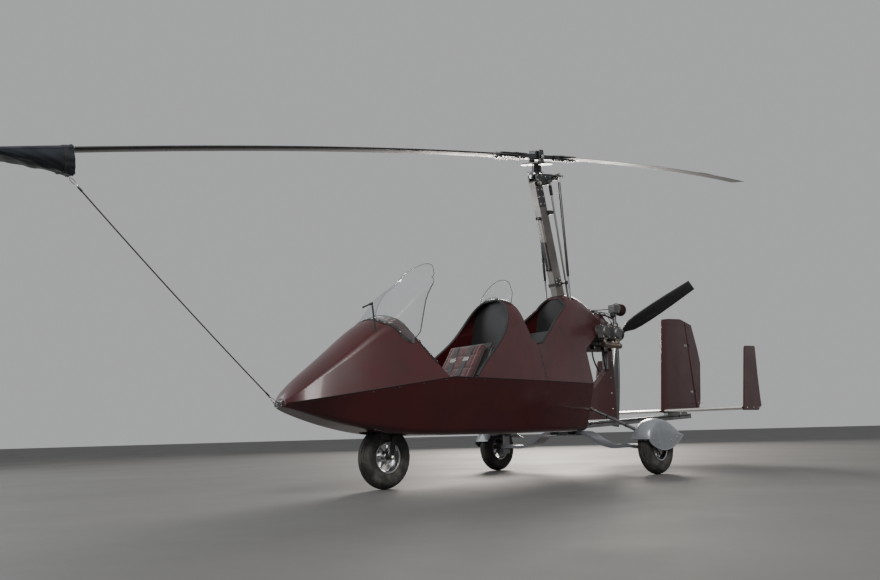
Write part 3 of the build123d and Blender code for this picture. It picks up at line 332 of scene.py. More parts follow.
SCREEN = Glass("clear_screen_sheet", "screen")
LENS = Glass("clear_lens", "lamp", (0.9, 0.92, 0.93), (0.2, 0.6))
FLOOR = Finish("grey_floor", "panel", (0.1, 0.099, 0.097), (0.085, 0.084, 0.082), roughness=(0.6, 0.75),
               patch=0.8, grain=60.0, relief=0.05, edge=0.0)

CAD_FINISHES: dict[Finish | Glass, tuple[str, ...]] = {
    PAINT: ("hull", "nose_cowl", "mid_fairing", "rear_cowl", "engine_pylon"),
    TAIL_PAINT: ("stabiliser", "end_fins", "fin", "rudder"),
    SCREEN: ("front_windscreen", "rear_windscreen"),
    BULKHEAD: ("rear_bulkhead",),
    PANEL: ("instrument_panels",),
    SEAT_SHELL: ("seat_shells", "seat_risers"),
    MAST_METAL: ("mast",),
    FRAME_METAL: ("keel", "nose_hook", "gear_struts", "stub_axles", "tail_mount", "push_rods",
                  "drive_shaft"),
    DARK_METAL: ("keel_saddles", "probe", "steer_head", "brake_calipers", "control_sticks", "pedals",
                 "nose_fork", "prop_hub"),
    BOW_COMPOSITE: ("gear_bow",),
    ENGINE_METAL: ("engine_block", "gearbox", "carburettors", "cylinders"),
    EXHAUST_METAL: ("exhaust",),
    HEAD_METAL: ("gimbal", "bearing_head", "ring_gear", "teeter_tower", "hub_bar"),
    BLADE_METAL: ("blade_front", "blade_rear"),
}


class Kit:
    """A mesh under construction, with its points in the shared frame."""

    def __init__(self) -> None:
        """Start an empty mesh."""
        self.bm = bmesh.new()

    def skin(self, rings: Sequence[Sequence[Vector]], closed: bool = True, caps: bool = True) -> None:
        """Join rings of points, one after the other.

        Args:
            rings: rings with the same number of points each.
            closed: whether each ring runs back to its first point.
            caps: whether the first and last ring are filled.
        """
        rows = [[self.bm.verts.new(p) for p in ring] for ring in rings]
        count = len(rows[0])
        for low, high in zip(rows, rows[1:]):
            for i in range(count if closed else count - 1):
                j = (i + 1) % count
                self.bm.faces.new((low[i], low[j], high[j], high[i]))
        if caps and closed:
            self.bm.faces.new(rows[0][::-1])
            self.bm.faces.new(rows[-1])

    def tube(self, path: Sequence[Point], radius: float, sides: int = 12, up: Vector = Z_AXIS) -> None:
        """Sweep a round section along a path.

        Args:
            path: points of the centre line.
            radius: radius of the section.
            sides: number of points around the section.
            up: direction that its first point lies square to.
        """
        points = [Vector(p) for p in path]
        rings = []
        for point, ahead in zip(points, headings(points)):
            side = ahead.cross(up)
            if side.length < 1e-3:
                side = ahead.cross(X_AXIS)
            side.normalize()
            over = side.cross(ahead)
            rings.append([point + side * (radius * c) + over * (radius * s) for c, s in around(sides)])
        self.skin(rings)

    def lathe(self, profile: Profile, origin: Point, axis: Vector, steps: int = 32, closed: bool = False,
              shape: Callable[[int, int], float] | None = None) -> None:
        """Turn a profile about an axis.

        Args:
            profile: (radius, distance along the axis) pairs.
            origin: point on the axis.
            axis: direction of the axis.
            steps: number of steps around.
            closed: whether the profile runs back to its first point.
            shape: change of radius at a profile point and a step, in metres.
        """
        axis = axis.normalized()
        side = axis.cross(Z_AXIS if abs(axis.z) < 0.9 else X_AXIS).normalized()
        over = axis.cross(side)
        rows = []
        for k, (c, s) in enumerate(around(steps)):
            out = side * c + over * s
            rows.append([
                self.bm.verts.new(Vector(origin) + out * (r + (shape(i, k) if shape else 0.0)) + axis * a)
                for i, (r, a) in enumerate(profile)
            ])
        for k, near in enumerate(rows):
            far = rows[(k + 1) % steps]
            for i in range(len(profile) if closed else len(profile) - 1):
                j = (i + 1) % len(profile)
                self.bm.faces.new((near[i], near[j], far[j], far[i]))
        if not closed:
            for i in (0, -1):
                if profile[i][0] > 1e-5:
                    self.bm.faces.new([row[i] for row in (rows if i else rows[::-1])])

    def box(self, low: Point, high: Point, place: Matrix | None = None) -> None:
        """Add a box between two corners, in the shared frame or in another."""
        spots = [Vector((x, y, z)) for x, y, z in product(*zip(low, high))]
        v = [self.bm.verts.new(place @ p if place else p) for p in spots]
        for face in ((0, 1, 3, 2), (4, 6, 7, 5), (0, 4, 5, 1), (2, 3, 7, 6), (0, 2, 6, 4), (1, 5, 7, 3)):
            self.bm.faces.new([v[i] for i in face])

    def bolt(self, spot: Point, axis: Vector, size: float = 0.008, rise: float = 0.6,
             socket: bool = False) -> None:
        """Add a hexagon head on a washer, or a round head with a socket.

        Args:
            spot: centre of the washer's foot.
            axis: direction that the head points.
            size: radius over the head's corners.
            rise: height of the head as a share of its size.
            socket: whether the head is round with a hexagon socket.
        """
        tall = size * rise
        self.lathe([(size * 1.35, 0), (size * 1.35, size * 0.14), (size * 0.8, size * 0.2)], spot, axis, 20)
        if socket:
            head = [(0.9, size * 0.15), (0.95, tall), (0.85, tall * 1.25), (0.5, tall * 1.25),
                    (0.45, tall * 0.6)]
        else:
            head = [(1.0, size * 0.15), (1.0, tall), (0.84, tall * 1.2)]
        self.lathe([(size * r, a) for r, a in head], spot, axis, 18 if socket else 6)

    def button(self, found: tuple[Vector, Vector], profile: Profile, steps: int = 14) -> None:
        """Add a low round head where a ray met a surface."""
        self.lathe(profile, *found, steps)

    def collar(self, spot: Point, axis: Vector, radii: tuple[float, float], length: float, ease: float = 0.0,
               steps: int = 32) -> None:
        """Add a ring around an axis.

        Args:
            spot: middle of its near face.
            axis: direction that it runs in.
            radii: its inner and outer radius.
            length: its length.
            ease: how far the outer face stands in from both ends.
            steps: number of steps around.
        """
        inner, outer = radii
        self.lathe([(inner, 0), (outer, ease), (outer, length - ease), (inner, length)], spot, axis, steps,
                   True)

    def strap(self, path: Sequence[Point], faces: Sequence[Vector], width: float, thick: float) -> None:
        """Lay a flat strap along a path.

        Args:
            path: points of its centre line.
            faces: direction that its face looks at each point.
            width: width of the strap.
            thick: thickness of the strap.
        """
        points = [Vector(p) for p in path]
        rings = []
        for point, ahead, face in zip(points, headings(points), faces):
            side = ahead.cross(face).normalized() * width / 2
            up = face.normalized() * thick
            rings.append([point - side, point + side, point + side * 0.96 + up, point - side * 0.96 + up])
        self.skin(rings)

    def plate(self, outline: Sequence[Point], thick: Vector) -> None:
        """Add a flat plate from an outline and the vector of its thickness."""
        near = [Vector(p) for p in outline]
        self.skin([near, [p + thick for p in near]])

    def piece(self, name: str, finish: Finish | Glass, rig: Rig = Rig.AIRFRAME,
              **look: float | list[str]) -> bpy.types.Object:
        """Turn the mesh into a dressed piece. What look may hold is said at dress."""
        bmesh.ops.recalc_face_normals(self.bm, faces=self.bm.faces)
        mesh = bpy.data.meshes.new(name)
        self.bm.to_mesh(mesh)
        self.bm.free()
        return dress(name, mesh, finish, rig, **look)


def dress(name: str, mesh: bpy.types.Mesh, finish: Finish | Glass, rig: Rig = Rig.AIRFRAME,
          bevel: float = 0.0,
          smooth: float = 40.0, replaces: Sequence[str] = ()) -> bpy.types.Object:
    """Make an object of a mesh, with its finish, and let it ride on a body.

    Args:
        name: name of the piece.
        mesh: its mesh.
        finish: its finish.
        rig: body that it rides on.
        bevel: width of its rounded edges.
        smooth: angle in degrees under which faces shade smoothly.
        replaces: CAD nodes that it stands for.

    Returns:
        The piece.
    """
    piece = bpy.data.objects.new(name, mesh)
    bpy.context.scene.collection.objects.link(piece)
    mesh.polygons.foreach_set("use_smooth", [True] * len(mesh.polygons))
    mesh.set_sharp_from_angle(angle=math.radians(smooth))
    mesh.materials.append(finish.material())
    if bevel:
        round_edges = piece.modifiers.new("round_edges", "BEVEL")
        round_edges.width = bevel
        round_edges.segments = 2
        round_edges.limit_method = "ANGLE"
        round_edges.angle_limit = math.radians(35)
        round_edges.harden_normals = True
    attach(piece, rig.value)
    if replaces:
        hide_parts(*replaces)
    log.info("%s rides on %s", name, rig.value)
    return piece


class Skin:
    """Outer surface of CAD nodes or meshes, for laying trim on."""

    def __init__(self, *parts: str | bpy.types.Mesh) -> None:
        """Read the faces of nodes, each by its name, and of meshes."""
        bm = bmesh.new()
        for part in parts:
            bm.from_mesh(frame["nodes"][part].data if isinstance(part, str) else part)
        self.tree = BVHTree.FromBMesh(bm)
        bm.free()

    def hit(self, origin: Point, towards: Point) -> tuple[Vector, Vector] | None:
        """First point that a ray meets, with the surface's direction there, or None."""
        towards = Vector(towards).normalized()
        spot, face, _, _ = self.tree.ray_cast(Vector(origin), towards)
        if spot is None:
            return None
        return spot, face if face.dot(towards) < 0 else -face

    def flank(self, side: int, y: float, z: float, reach: float = 0.7) -> tuple[Vector, Vector] | None:
        """What a ray from one side meets at a station and a height, starting at a reach from the middle."""
        return self.hit((side * reach, y, z), (-side, 0, 0))


def joint(name: str) -> dict:
    """Joint of the frame with that name."""
    return next(j for j in frame["joints"] if j["name"] == name)


def fixed(x: float, y: float, z: float) -> Vector:
    """Field of a dataclass that holds a place or a direction."""
    return field(default_factory=lambda: Vector((x, y, z)))


def axes(origin: Point, x_dir: Vector, z_dir: Vector) -> Matrix:
    """Frame with a place, its x direction and its z direction."""
    x_dir, z_dir = x_dir.normalized(), z_dir.normalized()
    made = Matrix((x_dir, z_dir.cross(x_dir), z_dir)).transposed().to_4x4()
    made.translation = Vector(origin)
    return made


def turned(place: Matrix, x: float, y: float, z: float) -> Vector:
    """Direction or step of a frame, in the shared frame."""
    return place.to_3x3() @ Vector((x, y, z))


def shares(count: int) -> list[float]:
    """Shares from 0 to 1 in a number of even stretches."""
    return [i / count for i in range(count + 1)]


def around(count: int, shift: float = 0.0) -> list[tuple[float, float]]:
    """Cosines and sines of even steps around a circle, shifted by a share of a step."""
    turns = [2 * math.pi * (i + shift) / count for i in range(count)]
    return [(math.cos(turn), math.sin(turn)) for turn in turns]


def spokes(count: int, start: float) -> list[Vector]:
    """Directions out from the propeller's axis in even steps, the first at an angle in degrees."""
    turns = [math.radians(start + 360 / count * i) for i in range(count)]
    return [Vector((math.cos(turn), 0, math.sin(turn))) for turn in turns]


def headings(points: Sequence[Vector]) -> list[Vector]:
    """Direction of a path at each of its points."""
    last = len(points) - 1
    return [(points[min(i + 1, last)] - points[max(i - 1, 0)]).normalized() for i in range(last + 1)]


def arc_points(start: Point, bend: Point, end: Point, count: int = 10) -> list[Vector]:
    """Points of a smooth arch that leaves two points towards a third, in a number of stretches."""
    a, b, c = Vector(start), Vector(bend), Vector(end)
    return [a * (1 - t) ** 2 + b * (2 * t * (1 - t)) + c * t * t for t in shares(count)]


def mirrored(points: Profile) -> list[tuple[float, float]]:
    """Profile points of the other half, in reversed order."""
    return [(r, -a) for r, a in points[::-1]]


@dataclass
class Studio:
    """Camera at the photograph's viewing angle, soft lights and a plain grey floor."""

    place: Vector = fixed(3.704, -4.806, 0.345)
    yaw: float = math.radians(45.997)
    pitch: float = math.radians(11.277)
    roll: float = math.radians(-1.535)
    focal_pixels: float = 718.1
    image_width: float = 880.0
    sensor: float = 36.0
    floor_radius: float = 70.0
    sky_colour: Colour = (0.78, 0.79, 0.8)
    sky_strength: float = 0.55

    def camera(self) -> None:
        """Set the camera."""
        data = bpy.data.cameras.new("camera")
        data.sensor_width = self.sensor
        data.lens = self.focal_pixels / self.image_width * self.sensor
        data.clip_end = 400
        level = math.cos(self.pitch)
        ahead = Vector((-math.sin(self.yaw) * level, math.cos(self.yaw) * level, math.sin(self.pitch)))
        right = Vector((math.cos(self.yaw), math.sin(self.yaw), 0))
        across = right * math.cos(self.roll) + right.cross(ahead) * math.sin(self.roll)
        camera = bpy.data.objects.new("camera", data)
        camera.matrix_world = axes(self.place, across, -ahead)
        bpy.context.scene.collection.objects.link(camera)
        bpy.context.scene.camera = camera

    def lamp(self, name: str, place: Point, size: float, power: float, tint: Colour) -> None:
        """Hang a square soft light that faces the object.

        Args:
            name: name of the light.
            place: where it hangs.
            size: its side.
            power: its power in watts.
            tint: its colour.
        """
        data = bpy.data.lights.new(name, "AREA")
        data.size = size
        data.energy = power
        data.color = tint
        light = bpy.data.objects.new(name, data)
        light.location = place
        light.rotation_euler = (Vector((0, -0.5, 1.0)) - Vector(place)).to_track_quat("-Z", "Y").to_euler()
        bpy.context.scene.collection.objects.link(light)

    def floor(self) -> None:
        """Lay the grey floor."""
        bm = bmesh.new()
        bmesh.ops.create_circle(bm, cap_ends=True, segments=96, radius=self.floor_radius)
        mesh = bpy.data.meshes.new("floor")
        bm.to_mesh(mesh)
        bm.free()
        floor = bpy.data.objects.new("floor", mesh)
        bpy.context.scene.collection.objects.link(floor)
        mesh.materials.append(FLOOR.material())

    def build(self) -> None:
        """Set up camera, floor, sky and lights."""
        self.camera()
        self.floor()
        world = bpy.data.worlds.new("soft_sky")
        world.use_nodes = True
        sky = world.node_tree.nodes["Background"]
        sky.inputs["Color"].default_value = (*self.sky_colour, 1)
        sky.inputs["Strength"].default_value = self.sky_strength
        bpy.context.scene.world = world
        self.lamp("key_light", (5.5, -5.0, 6.5), 4.0, 700.0, (1.0, 0.98, 0.95))
        self.lamp("rim_light", (-6.0, 7.5, 4.0), 4.0, 1200.0, (1.0, 0.93, 0.84))
        self.lamp("fill_light", (-6.0, -5.5, 3.5), 5.0, 300.0, (0.94, 0.97, 1.0))


@dataclass
class Wheel:
    """Tyre with grooved tread on a cast rim, with a brake disc on the main wheels.

    Attributes:
        name: first word of its pieces' names.
        rig: body that it turns with.
        centre: middle of the wheel.
        inner: side of the brake disc, or 0.
    """

    name: str
    rig: Rig
    centre: Vector
    inner: int = 0
    radius: float = 0.2
    half_width: float = 0.052
    shoulder: float = 0.168
    rim_radius: float = 0.102
    rim_half: float = 0.042
    steps: int = 96
    spokes: int = 6

    def crown(self, across: float) -> tuple[float, float]:
        """Point of the tread at a distance from the middle."""
        rise = self.radius - self.shoulder
        bend = (self.half_width**2 + rise**2) / (2 * rise)
        return self.radius - bend + math.sqrt(bend**2 - across**2), across

    def spot(self, across: float, radius: float, turn: tuple[float, float]) -> Vector:
        """Place on the wheel, by cosine and sine of its turn."""
        return self.centre + Vector((across, radius * turn[0], radius * turn[1]))

    def tyre(self) -> None:
        """Build the tyre with four grooves and slotted shoulders."""
        outer = [(self.rim_radius + 0.0004, -0.036), (0.112, -0.0445), (0.126, -0.0488), (0.14, -0.0508),
                 (0.156, -0.0518), (self.shoulder, -self.half_width)]
        spots, half, deep = (-0.029, -0.011, 0.011, 0.029), 0.0021, 0.005
        tread = [self.crown(x) for x in (-0.049, -0.045, -0.04)]
        for x, following in zip(spots, (*spots[1:], None)):
            for step, sink in ((-half, 0), (-half * 0.6, deep), (half * 0.6, deep), (half, 0)):
                radius, across = self.crown(x + step)
                tread.append((radius - sink, across))
            if following:
                tread.append(self.crown((x + following) / 2))
        tread += [self.crown(x) for x in (0.04, 0.045, 0.049)]
        profile = [*outer, *tread, *mirrored(outer)]
        near = range(len(outer), len(outer) + 3)
        far = range(len(outer) + len(tread) - 3, len(outer) + len(tread))

        def slots(i: int, k: int) -> float:
            """Sink every fourth step of the shoulders, staggered from side to side."""
            return -0.0035 if (i in near and k % 4 == 0) or (i in far and k % 4 == 2) else 0.0

        kit = Kit()
        kit.lathe(profile, self.centre, X_AXIS, self.steps, True, slots)
        kit.piece(self.name + "_tyre_tread", TYRE, self.rig, smooth=32, replaces=[self.name + "_tyre"])

    def rim(self) -> None:
        """Build the rim with its spokes, hub, bolts and valve."""
        half, edge = self.rim_half, self.rim_radius
        kit = Kit()
        outside = [(edge - 0.003, -half), (edge, -half + 0.001), (edge, -half + 0.006),
                   (0.094, -half + 0.012),
                   (0.09, -0.018)]
        inside = [(0.092, half - 0.003), (0.086, half - 0.014), (0.083, 0.012)]
        hub = [(0.0126, -half), (0.034, -half), (0.037, -half + 0.003), (0.04, -0.014)]
        barrel = [*outside, (0.088, 0), *mirrored(outside), *inside, (0.0825, 0), *mirrored(inside)]
        kit.lathe(barrel, self.centre, X_AXIS, 72, True)
        kit.lathe([*hub, (0.042, 0), *mirrored(hub)], self.centre, X_AXIS, 48, True)
        corners = ((-1, -0.6), (-0.6, -1), (0.6, -1), (1, -0.6), (1, 0.6), (0.6, 1), (-0.6, 1), (-1, 0.6))
        for c, s in around(self.spokes):
            out = Vector((0, c, s))
            side = X_AXIS.cross(out)
            rings = []
            for reach, wide, thick, lean in ((0.036, 0.017, 0.026, 0.0), (0.05, 0.011, 0.02, -0.002),
                                            (0.07, 0.011, 0.018, -0.004), (0.087, 0.019, 0.024, -0.004)):
                middle = self.centre + out * reach + X_AXIS * lean
                rings.append([middle + side * (wide * w) + X_AXIS * (thick / 2 * t) for w, t in corners])
            kit.skin(rings)
        kit.piece(self.name + "_rim_casting", RIM_METAL, self.rig, bevel=0.0008,
                  replaces=[self.name + "_rim"])
        kit = Kit()
        for turn in around(self.spokes, 0.5):
            for face in SIDES:
                kit.bolt(self.spot(face * (half - 0.0005), 0.027, turn), X_AXIS * face, 0.005)
        valve = (math.cos(0.5), math.sin(0.5))
        kit.lathe([(0.0045, 0), (0.0045, 0.02), (0.0035, 0.022), (0.0035, 0.034)],
                  self.spot(0.006, 0.081, valve), Vector((0.5, -valve[0], -valve[1])), 12)
        kit.piece(self.name + "_rim_bolts", BRIGHT_METAL, self.rig, bevel=0.0003)

    def brake_disc(self) -> None:
        """Build the drilled brake disc with its carrier."""
        face = X_AXIS * self.inner
        kit = Kit()
        carrier = [(0.0126, 0.042), (0.03, 0.042), (0.03, 0.0535), (0.044, 0.0545), (0.044, 0.0585),
                   (0.0126, 0.0585)]
        kit.lathe(carrier, self.centre, face, 48, True)
        disc = [(0.043, 0.054), (0.0745, 0.054), (0.075, 0.0545), (0.075, 0.0585), (0.0745, 0.059),
                (0.043, 0.059)]
        kit.lathe(disc, self.centre, face, 72, True)
        kit.piece(self.name + "_brake_disc", FRAME_METAL, self.rig, bevel=0.0004)
        kit = Kit()
        for ring, count, size, shift in ((0.037, 6, 0.0042, 0), (0.054, 18, 0.0026, 0),
                                         (0.065, 18, 0.0026, 0.5)):
            for turn in around(count, shift):
                spot = self.spot(0, ring, turn) + face * 0.0588
                kit.lathe([(size, 0), (size, 0.0004), (size * 0.5, 0.0005)], spot, face, 12)
        kit.piece(self.name + "_disc_holes", DARK_METAL, self.rig)

    def build(self) -> None:
        """Build the whole wheel."""
        self.tyre()
        self.rim()
        if self.inner:
            self.brake_disc()


@dataclass
class BodyTrim:
    """Gaskets, edgings, fasteners and panel details of the body shell."""

    nose_y: float = -2.55
    nose_seam: float = 0.54
    side_seam: float = 0.71
    seam_y: float = -1.45
    tail_y: float = 0.195
    joint_y: float = -0.462
    bead: float = 0.0095

    def seam_height(self, y: float) -> float:
        """Height of the seam between tub and shells."""
        share = min(1.0, (y - self.nose_y) / (self.seam_y - self.nose_y))
        return self.nose_seam + (self.side_seam - self.nose_seam) * share

    def seam(self) -> None:
        """Lay the gasket and its row of button screws along both sides."""
        tub = Skin("hull")
        gasket, screws = Kit(), Kit()
        start = self.nose_y + 0.03
        for side in SIDES:
            path = []
            for i, share in enumerate(shares(60)):
                y = start + (self.tail_y - start) * share
                found = tub.flank(side, y, self.seam_height(y) - 0.002)
                if not found:
                    continue
                path.append(found[0] + Vector((side * 0.0004, 0, 0.002)))
                low = tub.flank(side, y, self.seam_height(y) - 0.016)
                if low and i % 4 == 2:
                    screws.button(low, [(0.0065, 0), (0.006, 0.0014), (0.0035, 0.0026), (0.001, 0.0029)])
            gasket.tube(path, 0.0022, 8)
        gasket.piece("seam_gasket", RUBBER)
        screws.piece("seam_screws", DARK_METAL)

    def cowl_edging(self) -> None:
        """Lay a rubber edging over the front cockpit's slanting cowl edge."""
        cowl = Skin("nose_cowl")
        low, high = Vector((0, -1.49, 0.71)), Vector((0, -1.835, 1.118))
        along = (high - low).normalized()
        aft = X_AXIS.cross(along)
        aft = aft if aft.y > 0 else -aft
        core = low + along * 0.3 - aft * 0.004
        path = []
        for share in shares(60):
            turn = math.radians(-32 + 244 * share)
            way = X_AXIS * math.cos(turn) + along * math.sin(turn)
            found = cowl.hit(core + way * 0.8, -way)
            if found and found[0].z > 0.716:
                path.append(found[0] + aft * 0.004 - way * 0.006)
        kit = Kit()
        kit.tube(path, self.bead, up=aft)
        kit.piece("front_cockpit_edging", RUBBER)

    def side_edging(self, name: str, node: str, start: float, end: float,
                    reach: tuple[float, float]) -> None:
        """Lay a rubber edging along the front edge of a shell's sides and over its top.

        Args:
            name: name of the piece.
            node: CAD node whose edge it covers.
            start: lowest height.
            end: highest height.
            reach: stations between which the edge lies, the open one first.
        """
        shell = Skin(node)

        def wall(side: int, y: float, z: float) -> Vector | None:
            """Point of the shell's near side at a station and a height, or None."""
            found = shell.flank(side, y, z)
            return found[0] if found and found[0].x * side > 0.02 else None

        halves = []
        for side in SIDES:
            half = []
            for share in shares(32):
                z = start + (end - start) * share
                clear, solid = reach
                if not shell.flank(side, solid, z):
                    continue
                for _ in range(14):
                    middle = (clear + solid) / 2
                    if wall(side, middle, z) is not None:
                        solid = middle
                    else:
                        clear = middle
                edge = wall(side, solid + 0.0005 * (1 if solid > clear else -1), z)
                if edge is not None:
                    half.append(edge - X_AXIS * side * 0.005)
            halves.append(half)
        kit = Kit()
        kit.tube(halves[0] + halves[1][::-1], self.bead, up=Y_AXIS)
        kit.piece(name, RUBBER)

    def joint_band(self) -> None:
        """Lay the moulding joint between the two rear shells, with its screws."""
        shell = Skin("rear_cowl", "mid_fairing")
        kit, screws = Kit(), Kit()
        for side in SIDES:
            path, faces = [], []
            for i, share in enumerate(shares(19)):
                z = 0.716 + 0.29 * share
                found = shell.flank(side, self.joint_y, z)
                if not found:
                    continue
                path.append(found[0] - found[1] * 0.0006)
                faces.append(found[1])
                for step in (-0.02, 0.02) if i % 5 == 2 else ():
                    near = shell.flank(side, self.joint_y + step, z)
                    screws.button(near, [(0.006, 0), (0.0055, 0.0014), (0.001, 0.0026)])
            kit.strap(path, faces, 0.006, 0.0012)
        kit.piece("moulding_joint", RUBBER)
        screws.piece("moulding_joint_screws", DARK_METAL)

    def build(self) -> None:
        """Build all trim of the body."""
        self.seam()
        self.cowl_edging()
        self.side_edging("fairing_edging", "mid_fairing", 0.72, 1.35, (-1.4, -0.66))
        self.side_edging("rear_cockpit_edging", "rear_cowl", 1.0, 1.47, (-0.5, 0.16))
        self.joint_band()


@dataclass
class ScreenTrim:
    """Foot bands, edge beads and buttons of a windscreen.

    Attributes:
        name: name of the windscreen's CAD node.
        shell: CAD node that it stands on.
        touch: distance within which the sheet counts as standing on it.
        ease: how far aft the sides' rounded shoulders are drawn.
    """

    name: str
    shell: str
    touch: float = 0.0016
    ease: float = 0.0
    shoulder_z: float = 1.41
    band: float = 0.0042

    def foot(self, shell: Skin) -> list[Vector]:
        """Points where the sheet meets the shell, from side to side."""
        bins: dict[int, list[Vector]] = {}
        for vert in frame["nodes"][self.name].data.vertices:
            if shell.tree.find_nearest(vert.co)[3] < self.touch:
                bins.setdefault(round(vert.co.x / 0.014), []).append(vert.co.copy())
        path = [sum(points, Vector()) / len(points) for _, points in sorted(bins.items())]
        for _ in range(2):
            inner = [(a + b * 2 + c) / 4 for a, b, c in zip(path, path[1:], path[2:])]
            path = [path[0], *inner, path[-1]]
        return path

    def sheet(self) -> bpy.types.Mesh:
        """Mesh of the sheet, with its shoulders drawn aft where it is eased."""
        mesh = frame["nodes"][self.name].data
        if not self.ease:
            return mesh
        mesh = mesh.copy()
        for corner in mesh.vertices:
            rise = corner.co.z - self.shoulder_z
            near = math.exp(-((rise / (0.05 if rise > 0 else 0.1)) ** 2))
            aft = min(1.0, max(0.0, (corner.co.y + 1.75) / 0.19))
            corner.co.y += self.ease * near * aft * min(1.0, abs(corner.co.x) / 0.12)
        dress(self.name + "_sheet", mesh, SCREEN, smooth=50, replaces=[self.name])
        return mesh

    def rim(self) -> None:
        """Lay a thin dark bead along the sheet's edges."""
        bm = bmesh.new()
        bm.from_mesh(self.sheet())
        bmesh.ops.remove_doubles(bm, verts=bm.verts, dist=1e-5)
        sharp = [e for e in bm.edges if len(e.link_faces) == 2 and e.calc_face_angle() > 0.9]
        near: dict[bmesh.types.BMVert, list[bmesh.types.BMEdge]] = {}
        for edge in sharp:
            for corner in edge.verts:
                near.setdefault(corner, []).append(edge)
        kit = Kit()
        used = set()
        for edge in sharp:
            if edge in used:
                continue
            used.add(edge)
            chain = list(edge.verts)
            for _ in range(2):
                while step := next((e for e in near[chain[-1]] if e not in used), None):
                    used.add(step)
                    chain.append(step.other_vert(chain[-1]))
                chain.reverse()
            path = [corner.co.copy() for corner in chain]
            if sum((b - a).length for a, b in zip(path, path[1:])) > 0.12:
                kit.tube(path, 0.0023, 8, up=X_AXIS)
        bm.free()
        kit.piece(self.name + "_edge_bead", RUBBER, smooth=70)

    def build(self) -> None:
        """Build the bead, the band and its screws."""
        self.rim()
        shell = Skin(self.shell)
        path, faces = [], []
        for point in self.foot(shell):
            spot, face, _, _ = shell.tree.find_nearest(point)
            face = face if face.z > 0 else -face
            path.append(spot - face * 0.0005)
            faces.append(face)
        kit, screws = Kit(), Kit()
        kit.strap(path, faces, 0.026, self.band)
        kit.piece(self.name + "_foot_band", RUBBER, bevel=0.0008)
        for spot, face in list(zip(path, faces))[2:-2:4]:
            screws.button((spot + face * self.band, face), [(0.0055, 0), (0.005, 0.0016), (0.001, 0.003)])
        screws.piece(self.name + "_foot_screws", BRIGHT_METAL)


@dataclass
class Span:
    """Frame that runs out along one drooping blade.

    Attributes:
        front: whether it is the blade over the nose.
    """

    front: bool
    hub: Vector = fixed(0.035761, -0.047962, 2.69294)
    across: Vector = fixed(0.978148, 0.043227, -0.203368)
    over: Vector = fixed(0.207912, -0.203368, 0.956773)
    pitch: float = math.radians(2.6)
    droop: float = math.radians(4.2)
    root: float = 0.33
    tip: float = 4.2

    def at(self, radius: float) -> Matrix:
        """Frame at a radius: x towards the leading edge, y up, z outboard."""
        sign = -1 if self.front else 1
        out = self.over.cross(self.across) * sign
        lead = self.across * (-sign * math.cos(self.pitch)) + self.over * math.sin(self.pitch)
        up = out.cross(lead)
        if radius <= self.root:
            return axes(self.hub + out * radius, lead, out)
        bend = (self.tip - self.root) / self.droop
        turn = (radius - self.root) / bend
        rise = up * math.cos(turn) + out * math.sin(turn)
        away = out * math.cos(turn) - up * math.sin(turn)
        centre = self.hub + out * self.root - up * bend
        return axes(centre + rise * bend, lead, away)

    def ring(self, radius: float, outline: Profile) -> list[Vector]:
        """Points of a cross outline of (x, y) pairs at a radius."""
        place = self.at(radius)
        return [place @ Vector((x, y, 0)) for x, y in outline]


